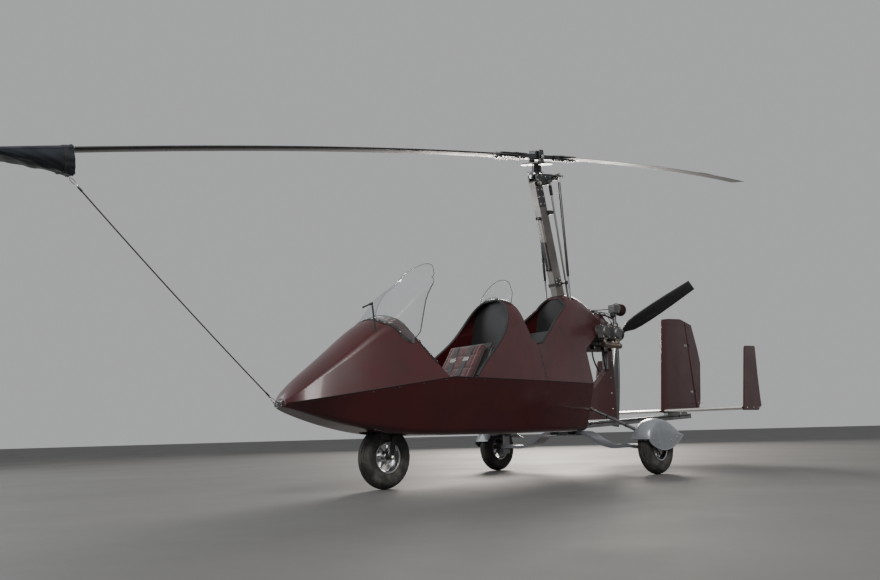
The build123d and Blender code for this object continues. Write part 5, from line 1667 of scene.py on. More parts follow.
@dataclass
class PropellerDetails:
    """Blades, root ferrules and clamp bolts of the pusher propeller."""

    centre: Vector = fixed(0, 1.087, 1.217)
    start: float = 24.0
    hub_half: float = 0.025

    def blades(self) -> None:
        """Build the three blades, flat behind and cambered ahead, with square tips."""
        kit = Kit()
        stations = ((0.0625, 0.042, 0.034, 40), (0.085, 0.044, 0.034, 40), (0.12, 0.072, 0.029, 39),
                    (0.17, 0.108, 0.023, 37), (0.25, 0.12, 0.0185, 33), (0.36, 0.123, 0.0155, 29),
                    (0.48, 0.12, 0.013, 25), (0.62, 0.111, 0.0108, 21), (0.75, 0.1, 0.0088, 18),
                    (0.85, 0.091, 0.0072, 16), (0.857, 0.089, 0.0062, 16), (0.8595, 0.083, 0.0036, 16))
        for out in spokes(3, self.start):
            side = out.cross(Y_AXIS)
            rings = []
            for radius, chord, thick, pitch in stations:
                lean = math.radians(pitch)
                along = side * math.cos(lean) - Y_AXIS * math.sin(lean)
                ahead = -Y_AXIS * math.cos(lean) - side * math.sin(lean)
                flat = 0.5 - 0.3 * min(1.0, max(0.0, (radius - 0.09) / 0.12))
                middle = self.centre + out * radius
                rings.append([
                    middle + along * (chord / 2 * c) + ahead * (thick * s * (1 - flat if s > 0 else flat))
                    for c, s in around(28)
                ])
            kit.skin(rings)
        kit.piece("propeller_blades", PROP_LACQUER, Rig.PROPELLER, smooth=50, replaces=["prop_blades"])

    def build(self) -> None:
        """Build the blades and dress the hub."""
        self.blades()
        ferrules, bolts = Kit(), Kit()
        ferrule = [(0.0205, 0.056), (0.0245, 0.057), (0.0255, 0.064), (0.0255, 0.078), (0.0225, 0.084),
                   (0.0205, 0.085)]
        for out in spokes(3, self.start):
            ferrules.lathe(ferrule, self.centre, out, 36, True)
            for step in (-0.017, 0.017):
                spot = self.centre + out * 0.048 + Y_AXIS.cross(out) * step * 1.3
                for face in (Y_AXIS, -Y_AXIS):
                    bolts.bolt(spot + face * self.hub_half, face, 0.0062, 0.8)
        for out in spokes(6, self.start + 30):
            bolts.bolt(self.centre + out * 0.052 + Y_AXIS * self.hub_half, Y_AXIS, 0.0055, socket=True)
        ferrules.piece("prop_root_ferrules", FRAME_METAL, Rig.PROPELLER, bevel=0.0006)
        bolts.piece("prop_hub_bolts", BRIGHT_METAL, Rig.PROPELLER, bevel=0.0003)


@dataclass
class TailDetails:
    """Pale edge strips that paint in a highlight, hinges, seams, cables and fasteners of the tail."""

    hinge_low: Vector = fixed(0, 2.508, 0.555)
    hinge_high: Vector = fixed(0, 2.408, 1.398)
    half_span: float = 0.81
    reach: float = 0.4

    def strips(self) -> None:
        """Lay a pale strip around the stabiliser's leading edge: a painted highlight for the rim light along
        that glossy edge.
        """
        plane = Skin("stabiliser")
        stations = (1.85, 1.83, 1.81, 1.8, 1.793, 1.789)
        over = [plane.hit((0.5, y, 0.6), -Z_AXIS) for y in stations]
        under = [plane.hit((0.5, y, 0.4), Z_AXIS) for y in stations[::-1]]
        nose = plane.hit((0.5, 1.7, 0.504), Y_AXIS)[0], -Y_AXIS
        outline = [found[0] + found[1] * 0.0006 for found in (*over, nose, *under) if found]
        kit = Kit()
        for first, last in ((-self.half_span + 0.004, -0.03), (0.03, self.half_span - 0.004)):
            kit.skin([[Vector((x, p.y, p.z)) for p in outline] for x in (first, last)], False, False)
        # Painted highlight: these pale strips stand for light catching the leading edge.
        kit.piece("stabiliser_painted_highlight_strips", PAINTED_HIGHLIGHT_TRIM, smooth=80)

    def seam_strip(self, kit: Kit, skin: Skin, start: Point, end: Point, width: float, side: int) -> None:
        """Lay a thin strip on one side of a fin, between two (y, z) points."""
        hits = []
        for share in shares(12)[:-1]:
            y, z = (a + (b - a) * share for a, b in zip(start, end))
            hits.append(skin.flank(side, y, z, self.reach))
        hits = [found for found in hits if found]
        kit.strap([spot - face * 0.0003 for spot, face in hits], [face for _, face in hits], width, 0.0009)

    def rivet_row(self, kit: Kit, skin: Skin, start: Point, end: Point, count: int, side: int) -> None:
        """Set a row of rivets on one side of a fin, between two (y, z) points."""
        for share in shares(count - 1):
            y, z = (a + (b - a) * share for a, b in zip(start, end))
            found = skin.flank(side, y, z, self.reach)
            if found:
                kit.button(found, [(0.0042, 0), (0.0036, 0.0011), (0.001, 0.0019)], 12)

    def seams(self) -> None:
        """Lay the seam strips and rivet rows of fin and rudder."""
        fin, rudder = Skin("fin"), Skin("rudder")
        bands, moving, rivets, moving_rivets = Kit(), Kit(), Kit(), Kit()
        for side in SIDES:
            self.seam_strip(bands, fin, (1.815, 0.56), (2.44, 0.56), 0.014, side)
            self.seam_strip(bands, fin, (1.965, 1.395), (2.36, 1.41), 0.014, side)
            self.seam_strip(moving, rudder, (2.6, 0.62), (2.655, 1.06), 0.012, side)
            self.rivet_row(rivets, fin, (1.83, 0.585), (2.43, 0.585), 13, side)
            self.rivet_row(rivets, fin, (1.85, 0.62), (1.965, 1.36), 14, side)
            self.rivet_row(moving_rivets, rudder, (2.565, 0.6), (2.475, 1.36), 12, side)
        bands.piece("fin_seam_strips", TAIL_PAINT)
        moving.piece("rudder_seam_strips", TAIL_PAINT, Rig.RUDDER)
        rivets.piece("fin_rivets", TAIL_PAINT)
        moving_rivets.piece("rudder_rivets", TAIL_PAINT, Rig.RUDDER)

    def hinges(self) -> None:
        """Fit hinge straps on the fin."""
        line = (self.hinge_high - self.hinge_low).normalized()
        fin = Skin("fin")
        plates, bolts = Kit(), Kit()
        for start in (0.15, 0.64):
            spot = self.hinge_low + line * start
            for side in SIDES:
                out = X_AXIS * side
                corners = ((-0.11, -0.013), (-0.045, -0.018), (-0.045, 0.018), (-0.11, 0.013))
                ring = [fin.flank(side, spot.y + y, spot.z + z, self.reach)[0] + out * 0.0002 for y,
                        z in corners]
                plates.plate(ring, out * 0.0024)
                for y in (-0.095, -0.06):
                    foot = fin.flank(side, spot.y + y, spot.z, self.reach)[0]
                    bolts.bolt(foot + out * 0.0024, out, 0.0055)
        plates.piece("rudder_hinge_straps", FRAME_METAL, bevel=0.0005)
        bolts.piece("rudder_hinge_bolts", BRIGHT_METAL, bevel=0.0003)

    def horn(self) -> None:
        """Fit the rudder's horn and its fasteners."""
        horn, pins = Kit(), Kit()
        foot = self.hinge_low + (self.hinge_high - self.hinge_low).normalized() * 0.03
        thick = Z_AXIS * 0.004
        outline = ((0.016, -0.014), (0.088, -0.01), (0.096, 0.0), (0.088, 0.01), (0.016, 0.03))
        for side in SIDES:
            horn.plate([foot + Vector((side * x, y, 0)) for x, y in outline], thick)
            pins.bolt(foot + X_AXIS * side * 0.082 + thick, Z_AXIS, 0.006)
            pins.bolt(foot + Vector((side * 0.03, 0.008, 0)) + thick, Z_AXIS, 0.005)
        horn.piece("rudder_horn", FRAME_METAL, Rig.RUDDER, bevel=0.0006)
        pins.piece("rudder_horn_pins", BRIGHT_METAL, Rig.RUDDER)

    def boom(self) -> None:
        """Clip the rudder's cable along the boom and bolt the tail to it."""
        boom = Skin("keel")
        cable, clips, bolts, cap = Kit(), Kit(), Kit(), Kit()
        for side in SIDES:
            out = X_AXIS * side
            path = []
            for share in shares(25):
                y = 0.36 + (2.31 - 0.36) * share
                found = boom.flank(side, y, 0.374 + max(0.0, (y - 0.33) * 0.0405), 0.3)
                if found:
                    path.append(found[0] + out * 0.0052 + Z_AXIS * 0.009)
            cable.tube(path, 0.0038, 8)
            for spot in path[2:-1:5]:
                clips.box(spot + Vector((-0.0058, -0.005, -0.009)), spot + Vector((0.0058, 0.005, 0.007)))
            for y in (1.88, 1.97, 2.06, 2.11):
                bolts.bolt((side * 0.022, y, 0.474), out, 0.006)
            for y in (1.86, 2.0, 2.12):
                bolts.bolt((side * 0.8263, y, 0.504), out, 0.0065)
        cap.box((-0.0255, 2.329, 0.4295), (0.0255, 2.336, 0.4805))
        cable.piece("rudder_cables", RUBBER, smooth=70)
        clips.piece("rudder_cable_clips", DARK_METAL, bevel=0.0006)
        bolts.piece("tail_bolts", BRIGHT_METAL, bevel=0.0003)
        cap.piece("boom_end_cap", RUBBER, bevel=0.003)

    def build(self) -> None:
        """Dress the tail."""
        self.strips()
        self.seams()
        self.hinges()
        self.horn()
        self.boom()


@dataclass
class GearDetails:
    """Clamps, collars, axle nuts, brake lines and domed guards of the main gear."""

    crown: Profile = ((0.012, 0.262), (0.019, 0.3), (0.046, 0.346), (0.098, 0.386), (0.165, 0.41),
                      (0.235, 0.415), (0.31, 0.402), (0.385, 0.373), (0.455, 0.335), (0.52, 0.29))
    hem: Profile = ((0.012, 0.252), (0.03, 0.233), (0.07, 0.212), (0.12, 0.194), (0.18, 0.182),
                    (0.24, 0.179), (0.31, 0.187), (0.38, 0.207), (0.455, 0.243), (0.522, 0.284))
    middle: float = 0.805
    half: float = 0.0745
    sheet: float = 0.0035

    def strut(self, side: int) -> tuple[Vector, Vector]:
        """Top and foot of one side's strut."""
        return Vector((side * 0.025, 0.24, 0.5973)), Vector((side * 0.7, 0.228, 0.308))

    def clamps(self) -> None:
        """Bolt the bow's clamp under the hull and collars on the struts."""
        plates, bolts, pads = Kit(), Kit(), Kit()
        for side in SIDES:
            out = X_AXIS * side
            x0, x1 = sorted((side * 0.055, side * 0.13))
            plates.box((x0, 0.143, 0.2982), (x1, 0.299, 0.3072))
            pads.box((x0, 0.145, 0.3072), (x1, 0.1508, 0.3325))
            pads.box((x0, 0.2912, 0.3072), (x1, 0.297, 0.3325))
            for x in (x0 + 0.016, x1 - 0.016):
                for y in (0.154, 0.288):
                    bolts.bolt((x, y, 0.2982), -Z_AXIS, 0.0085)
            top, foot = self.strut(side)
            way = (foot - top).normalized()
            for start in (0.02, (foot - top).length - 0.075):
                plates.collar(top + way * start, way, (0.0142, 0.0185), 0.035, 0.001)
                bolts.bolt(top + way * (start + 0.0175) - Y_AXIS * 0.018, -Y_AXIS, 0.006)
            for y in (0.19, 0.252):
                for z in (0.165, 0.32):
                    bolts.bolt((side * 0.7003, y, z), out, 0.0065)
            bolts.bolt((side * 0.8525, 0.221, 0.2), out, 0.0125, 1.0)
        plates.piece("gear_clamps", FRAME_METAL, bevel=0.0012)
        pads.piece("gear_clamp_pads", RUBBER, bevel=0.001)
        bolts.piece("gear_bolts", BRIGHT_METAL, bevel=0.0004)

    def brakes(self) -> None:
        """Dress the calipers and run their hoses up the struts to the hull."""
        hoses, bolts, clips = Kit(), Kit(), Kit()
        for side in SIDES:
            for z in (0.248, 0.27):
                bolts.bolt((side * 0.722, 0.292, z), Y_AXIS, 0.0065, socket=True)
            bolts.lathe([(0.006, 0), (0.006, 0.006), (0.0045, 0.01)], (side * 0.72, 0.262, 0.282), Z_AXIS, 6)
            top, foot = self.strut(side)
            path = arc_points((side * 0.72, 0.262, 0.292), (side * 0.705, 0.262, 0.345),
                              foot.lerp(top, 0.08) + Vector((0, 0.019, 0.006)), 12)
            for i in range(1, 15):
                path.append(foot.lerp(top, 0.08 + 0.84 * i / 14) + Vector((0, 0.0185,
                                                                           0.001 * math.sin(i * 2.3))))
            hoses.tube(path, 0.0036, 8)
            for share in (0.2, 0.45, 0.7):
                spot = foot.lerp(top, share)
                clips.collar(spot, top - foot, (0.0143, 0.0162), 0.008, steps=28)
                clips.collar(spot + Y_AXIS * 0.0185, top - foot, (0.0038, 0.0052), 0.008, steps=16)
        hoses.piece("brake_hoses", RUBBER, smooth=70)
        bolts.piece("caliper_fasteners", BRIGHT_METAL, bevel=0.0003)
        clips.piece("brake_hose_clips", DARK_METAL)

    def guards(self) -> None:
        """Build the domed mudguards, with beaded edges and screws."""
        kit, beads, screws = Kit(), Kit(), Kit()
        for side in SIDES:
            rings, edge = [], []
            for share in shares(44):
                top, low = self.along(self.crown, share), self.along(self.hem, share)
                ahead = self.along(self.crown, min(1.0, share + 0.01)) - self.along(self.crown,
                                                                                    max(0.0, share - 0.01))
                up = X_AXIS.cross(ahead.normalized())
                up = up if up.z > 0 or up.y < 0 else -up
                outer = self.section(top, low, up, side, 0.0)
                rings.append([*outer, *self.section(top, low, up, side, self.sheet)[::-1]])
                edge.append(outer[0] + X_AXIS * side * 0.0003)
            kit.skin(rings)
            beads.tube(edge, 0.0034, 10, up=X_AXIS)
            for y, z in ((0.075, 0.262), (0.16, 0.232), (0.33, 0.25), (0.42, 0.268)):
                found = Vector((side * (self.middle + self.half), y, z)), X_AXIS * side
                screws.button(found, [(0.0065, 0), (0.006, 0.0015), (0.0032, 0.0028), (0.001, 0.003)], 16)
        kit.piece("domed_mudguards", GUARD_PAINT, smooth=60, replaces=["mudguards"])
        beads.piece("guard_beads", GUARD_PAINT, smooth=70)
        screws.piece("guard_screws", BRIGHT_METAL)

    def along(self, line: Profile, share: float) -> Vector:
        """Point of a smooth line through (y, z) points, at a share of its stretches."""
        place = share * (len(line) - 1)
        i = min(len(line) - 2, int(place))
        t = place - i
        a, b, c, d = (Vector((0, *line[max(0, min(len(line) - 1, k))])) for k in range(i - 1, i + 3))
        return (b * 2 + (c - a) * t + (a * 2 - b * 5 + c * 4 - d) * t**2 + (b * 3 - a - c * 3 + d) * t**3) / 2

    def section(self, top: Vector, low: Vector, up: Vector, side: int, inset: float) -> list[Vector]:
        """Half-round cap over two skirts, from the outer hem to the inner one.

        Args:
            top: point on the guard's crown line.
            low: point on its hem.
            up: direction away from the wheel.
            side: side of the aircraft.
            inset: depth under the outer face.

        Returns:
            The section's points.
        """
        width = self.half - inset
        fall = min(0.032, 0.5 * (top - low).length)
        points = []
        for share in shares(14):
            turn = math.pi / 2 * (1 - 2 * share)
            drop = fall * (1 - math.cos(turn)) + inset
            points.append(top - up * drop + X_AXIS * side * (self.middle + width * math.sin(turn)))
        foot = low + X_AXIS * side * (self.middle + width)
        end = points[-1]
        ease = Vector((end.x, low.y, max(low.z, min(0.31, end.z))))
        return [*(foot.lerp(points[0], share) for share in (0.0, 0.33, 0.66)), *points,
                *(end.lerp(ease, share) for share in (0.34, 0.67, 1.0))]

    def build(self) -> None:
        """Dress the main gear."""
        self.clamps()
        self.brakes()
        self.guards()


@dataclass
class NoseDetails:
    """Lamps, hook, probe head and the nose leg's fasteners."""

    lamp_x: float = 0.084
    lamp_z: float = 0.556
    lamp_front: float = -2.495
    eye: Vector = fixed(0, -2.574, 0.536)
    axle: Vector = fixed(0, -1.77, 0.2)

    def lamps(self) -> None:
        """Build the lamps' reflectors, bezels and lenses."""
        bowls, bezels, lenses = Kit(), Kit(), Kit()
        bowl = [(0.0175, 0.004), (0.0165, 0.009), (0.013, 0.016), (0.008, 0.021), (0.003, 0.023),
                (0.003, 0.013),
                (0.0008, 0.012)]
        bezel = [(0.0172, 0.0), (0.019, -0.0015), (0.0202, 0.001), (0.0202, 0.034), (0.0172, 0.034)]
        lens = [(0.0002, -0.0018), (0.007, -0.0012), (0.013, 0.0004), (0.0173, 0.003)]
        for side in SIDES:
            spot = Vector((side * self.lamp_x, self.lamp_front, self.lamp_z))
            bowls.lathe(bowl, spot, Y_AXIS, 40)
            bezels.lathe(bezel, spot, Y_AXIS, 48, True)
            lenses.lathe(lens, spot, Y_AXIS, 40)
        bezels.piece("lamp_bezels", DARK_METAL, bevel=0.0004, replaces=["nose_lamps"])
        bowls.piece("lamp_reflectors", LAMP_METAL, smooth=60)
        lenses.piece("lamp_lenses", LENS, smooth=60)

    def hook(self) -> None:
        """Fit the hook's shackle and screws."""
        kit, screws = Kit(), Kit()
        path = [self.eye + X_AXIS * 0.011]
        for share in shares(18):
            c, s = math.cos(math.pi * share), math.sin(math.pi * share)
            path.append(self.eye + Vector((0.011 * c, -0.006 - 0.016 * s, 0.014 * s)))
        kit.tube([*path, self.eye - X_AXIS * 0.011], 0.0028, 10, up=X_AXIS)
        kit.lathe([(0.0045, -0.0155), (0.0045, 0.0155)], self.eye, X_AXIS, 6)
        kit.piece("nose_shackle", BRIGHT_METAL)
        for x in (-0.021, 0.021):
            for z in (0.525, 0.547):
                screws.button(((x, -2.5563, z), -Y_AXIS), [(0.0042, 0), (0.0038, 0.0014), (0.001, 0.0022)])
        screws.piece("nose_hook_screws", BRIGHT_METAL)

    def probe(self) -> None:
        """Fit the probe's head, bush and foot."""
        kit = Kit()
        tip, back = Vector((0.18, -2.075, 1.132)), Vector((0.18, -2.003, 1.166))
        way = (tip - back).normalized()
        kit.lathe([(0.0052, 0), (0.0075, 0.002), (0.0075, 0.03), (0.0052, 0.034)], back - way * 0.004, way,
                  24)
        kit.lathe([(0.0052, -0.001), (0.0065, 0.003), (0.0065, 0.01), (0.003, 0.012)], tip - way * 0.006,
                  way, 20)
        kit.lathe([(0.0062, 0), (0.011, 0.001), (0.012, 0.006), (0.0085, 0.02), (0.0062, 0.024)],
                  (0.18, -1.9712, 0.952), Vector((0, -0.04, 0.27)), 28)
        kit.piece("probe_fittings", DARK_METAL, bevel=0.0004)

    def leg(self) -> None:
        """Fit the nose leg's collar, bolts and axle nuts."""
        collar, nuts = Kit(), Kit()
        steer = Vector(joint("nose_steer")["axis"])
        for side in SIDES:
            out = X_AXIS * side
            nuts.bolt(self.axle + out * 0.0865, out, 0.0115, 0.8)
            for rise in (0.285, 0.31):
                nuts.bolt(self.axle + steer * rise + out * 0.0857, out, 0.0055)
        collar.collar(self.axle + steer * 0.262, steer, (0.0205, 0.0245), 0.011, 0.001, 40)
        nuts.piece("nose_axle_nuts", BRIGHT_METAL, Rig.NOSE_LEG, bevel=0.0004)
        collar.piece("steering_collar", FRAME_METAL, Rig.NOSE_LEG, bevel=0.0006)

    def build(self) -> None:
        """Dress the nose."""
        self.lamps()
        self.hook()
        self.probe()
        self.leg()


@dataclass
class Cockpits:
    """Dials, switches, grips, levers and gaiters of both cockpits."""

    front_origin: Vector = fixed(0, -1.5175, 0.6868)
    rear_origin: Vector = fixed(0, -0.635, 0)

    def dial(self, kits: dict[str, Kit], place: Matrix, u: float, v: float, radius: float, ticks: int,
             point: float) -> None:
        """Add one dial with its bezel, marks, pointer and glass.

        Args:
            kits: kits for bezels, faces, marks and glass.
            place: frame of the panel, z off its face.
            u: place across the panel.
            v: place up the panel.
            radius: its radius.
            ticks: number of marks around it.
            point: pointer's angle in degrees.
        """
        spot, off = place @ Vector((u, v, 0)), turned(place, 0, 0, 1)
        bezel = [(0.86, 0.001), (1.0, 0.0), (1.08, 0.0), (1.08, 0.004), (1.0, 0.0065), (0.88, 0.0065),
                 (0.86, 0.0045)]
        kits["bezel"].lathe([(radius * r, a) for r, a in bezel], spot, off, 48, True)
        kits["face"].lathe([(0.0002, 0.0016), (radius * 0.87, 0.0016)], spot, off, 36)
        marks, lift = kits["marks"], Matrix.Translation((u, v, 0.0018))
        for i, share in enumerate(shares(ticks - 1)):
            long = radius * (0.2 if i % 4 == 0 else 0.1)
            rot = place @ lift @ Matrix.Rotation(math.radians(210 - 300 * share), 4, "Z")
            marks.box((radius * 0.8 - long, -radius * 0.014, 0), (radius * 0.8, radius * 0.014, 0.0004), rot)
        rot = place @ Matrix.Translation((u, v, 0.0026)) @ Matrix.Rotation(math.radians(point), 4, "Z")
        marks.box((-radius * 0.14, -radius * 0.022, 0), (radius * 0.68, radius * 0.022, 0.0005), rot)
        kits["face"].lathe([(radius * 0.09, 0.0026), (radius * 0.07, 0.0036)], spot, off, 16)
        kits["glass"].lathe([(0.0002, 0.0052), (radius * 0.86, 0.0052)], spot, off, 32)

    def panels(self) -> None:
        """Fill both panels with dials, a blank screen, switches and screws."""
        kits = {name: Kit() for name in ("bezel", "face", "marks", "glass", "bright", "red")}
        front = axes(self.front_origin, -X_AXIS, Vector((0, 0.7636, 0.6457)))
        rear = axes(self.rear_origin, -X_AXIS, Y_AXIS)
        for dial in ((-0.105, 0.385, 0.038, 25, 200), (0.0, 0.4, 0.038, 17, 130),
                     (0.105, 0.385, 0.038, 21, 240),
                     (-0.185, 0.3, 0.027, 13, 160), (-0.12, 0.295, 0.027, 13, 90),
                     (0.12, 0.295, 0.027, 13, 45),
                     (0.185, 0.3, 0.027, 13, 210)):
            self.dial(kits, front, *dial)
        for dial in ((-0.058, 1.16, 0.036, 21, 210), (0.058, 1.16, 0.036, 17, 150),
                     (0.0, 1.07, 0.027, 13, 80)):
            self.dial(kits, rear, *dial)
        kits["bezel"].box((-0.075, 0.245, 0), (0.075, 0.335, 0.006), front)
        kits["glass"].box((-0.068, 0.252, 0.006), (0.068, 0.328, 0.0066), front)
        off = turned(front, 0, 0, 1)
        toggle = [(0.008, 0), (0.008, 0.002), (0.0045, 0.003), (0.0045, 0.006), (0.002, 0.007),
                  (0.0028, 0.02),
                  (0.0006, 0.0215)]
        for i in range(8):
            spot = front @ Vector((-0.14 + 0.04 * i, 0.2, 0))
            kits["bright"].lathe(toggle, spot, off + Z_AXIS * (0.25 if i % 3 else -0.25), 14)
        for u in (-0.2, 0.2):
            knob = [(0.007, 0), (0.011, 0.003), (0.011, 0.007), (0.008, 0.009)]
            kits["red"].lathe(knob, front @ Vector((u, 0.215, 0)), off, 24)
        front_screws = ((-0.22, 0.18), (0.22, 0.18), (-0.2, 0.34), (0.2, 0.34), (-0.05, 0.475),
                        (0.05, 0.475))
        rear_screws = ((-0.13, 1.0), (0.13, 1.0), (-0.11, 1.2), (0.11, 1.2))
        for place, spots in ((front, front_screws), (rear, rear_screws)):
            for u, v in spots:
                found = place @ Vector((u, v, 0)), turned(place, 0, 0, 1)
                kits["bright"].button(found, [(0.0048, 0), (0.0042, 0.0014), (0.001, 0.0022)])
        kits["bezel"].piece("dial_bezels", DARK_METAL, bevel=0.0004)
        kits["face"].piece("dial_faces", PANEL)
        kits["marks"].piece("dial_marks", DIAL_MARKS)
        kits["glass"].piece("dial_glass", LENS)
        kits["bright"].piece("panel_switches", BRIGHT_METAL)
        kits["red"].piece("panel_buttons", RED_PLASTIC)

    def controls(self) -> None:
        """Dress the sticks with gaiters, grips and triggers and the pedals with treads."""
        rubber, grips, red, metal = Kit(), Kit(), Kit(), Kit()
        folds = [((0.033 - 0.0014 * i) * (1.0 if i % 2 else 0.86), 0.004 + 0.008 * i) for i in range(12)]
        gaiter = [(0.035, 0.0), *folds, (0.0125, 0.104), (0.0125, 0.108)]
        grip = [(0.0192, 0), (0.0215, 0.003), (0.0215, 0.007), (0.0196, 0.01), (0.0205, 0.026),
                (0.0196, 0.042),
                (0.0205, 0.058), (0.0196, 0.074), (0.0208, 0.09), (0.0196, 0.108), (0.0232, 0.118),
                (0.0235, 0.134),
                (0.019, 0.143), (0.008, 0.146)]
        for y, foot in ((-1.64, 0.4823), (-0.88, 0.3993)):
            rubber.lathe(gaiter, (0, y + 0.002, foot + 0.022), Vector((0, 0.09, 1)), 36)
            low, high = Vector((0, y + 0.118, 0.86)), Vector((0, y + 0.19, 0.98))
            way = (high - low).normalized()
            grips.lathe(grip, low, way, 36)
            button = high + way * 0.0055 + Vector((0.007, 0.002, 0))
            red.lathe([(0.0068, 0), (0.0068, 0.004), (0.0045, 0.006)], button, way, 20)
            lever = [low + Vector((0, *step)) for step in ((-0.021, 0.09), (-0.062, 0.07), (-0.05, 0.0))]
            metal.tube(arc_points(*lever), 0.0032, 8)
            metal.lathe([(0.004, 0), (0.004, 0.012)], low + Vector((-0.006, -0.0205, 0.09)), X_AXIS, 14)
        for x in (-0.095, 0.095):
            for z in (0.515, 0.53, 0.545, 0.56, 0.575, 0.59):
                rubber.box((x - 0.034, -2.052, z - 0.003), (x + 0.034, -2.0485, z + 0.003))
        rubber.piece("stick_gaiters", RUBBER, smooth=60)
        grips.piece("stick_grips", PANEL, smooth=60)
        red.piece("stick_buttons", RED_PLASTIC)
        metal.piece("brake_levers", BRIGHT_METAL, smooth=60)

    def levers(self) -> None:
        """Fix the throttle quadrants on the port side of both cockpits."""
        boxes, rods, knobs = Kit(), Kit(), Kit()
        walls = Skin("hull")
        for y in (-1.32, -0.5):
            x = walls.hit((0, y, 0.6), X_AXIS)[0].x - 0.002
            boxes.box((x - 0.032, y - 0.07, 0.555), (x, y + 0.07, 0.625))
            foot = Vector((x - 0.016, y, 0.6))
            tip = foot + Vector((0, -0.035, 0.105))
            rods.tube([foot, tip], 0.0042, 10)
            knob = [(0.004, 0), (0.012, 0.004), (0.0145, 0.012), (0.012, 0.021), (0.004, 0.025)]
            knobs.lathe(knob, tip, tip - foot, 28)
        boxes.piece("throttle_boxes", PANEL, bevel=0.004)
        rods.piece("throttle_levers", BRIGHT_METAL)
        knobs.piece("throttle_knobs", DARK_METAL, smooth=60)

    def build(self) -> None:
        """Dress both cockpits."""
        self.panels()
        self.controls()
        self.levers()


@dataclass
class Pad:
    """Filled pad: its surface, its frame with x across, y along and z off the shell, and its half sizes."""

    skin: Skin
    place: Matrix
    half: Vector

    def drop(self, x: float, y: float) -> Vector | None:
        """Point of the upper face at a place in the pad's frame, or None."""
        found = self.skin.hit(self.place @ Vector((x, y, self.half.z * 3)), turned(self.place, 0, 0, -1))
        return found[0] if found else None

    def belt(self, kit: Kit, line: Sequence[tuple[float, float]], height: float,
             pace: float) -> list[Vector]:
        """Lay a belt over the pad.

        Args:
            kit: kit of the belts.
            line: (x, y) places of the belt in the pad's frame.
            height: how far its waves lift it.
            pace: how fast the waves follow each other.

        Returns:
            The belt's path.
        """
        off = turned(self.place, 0, 0, 1)
        path = []
        for share, (x, y) in zip(shares(len(line) - 1), line):
            spot = self.drop(x, y)
            if spot is not None:
                path.append(spot + off * (0.0012 + height * math.sin(share * pace) ** 2))
        kit.strap(path, [off] * len(path), 0.044, 0.0018)
        return path

    def piping(self, name: str) -> None:
        """Sew piping around the upper edge and thread along the channels."""
        kit = Kit()
        path = []
        for share in shares(120):
            c, s = math.cos(2 * math.pi * share), math.sin(2 * math.pi * share)
            reach = 1 / max(abs(c) / self.half.x, abs(s) / self.half.y)
            out, rise = Vector((c * reach, s * reach, 0)), Vector((0, 0, self.half.z * 0.42))
            far = self.place @ (out * 1.5 + rise)
            found = self.skin.hit(far, self.place @ (out * 0.5 + rise) - far)
            if found:
                path.append(found[0])
        kit.tube(path, 0.0034, 8)
        along, off = turned(self.place, 0.0022, 0, 0), turned(self.place, 0, 0, 1)
        for line in (-0.5, 0.0, 0.5):
            for share in shares(43):
                spot = self.drop((-0.92 + 1.84 * share) * self.half.x, line * self.half.y)
                if spot is not None:
                    foot = spot + off * 0.0001
                    kit.tube([foot - along, spot + off * 0.0007, foot + along], 0.0006, 5)
        kit.piece(name, WEBBING, smooth=60)


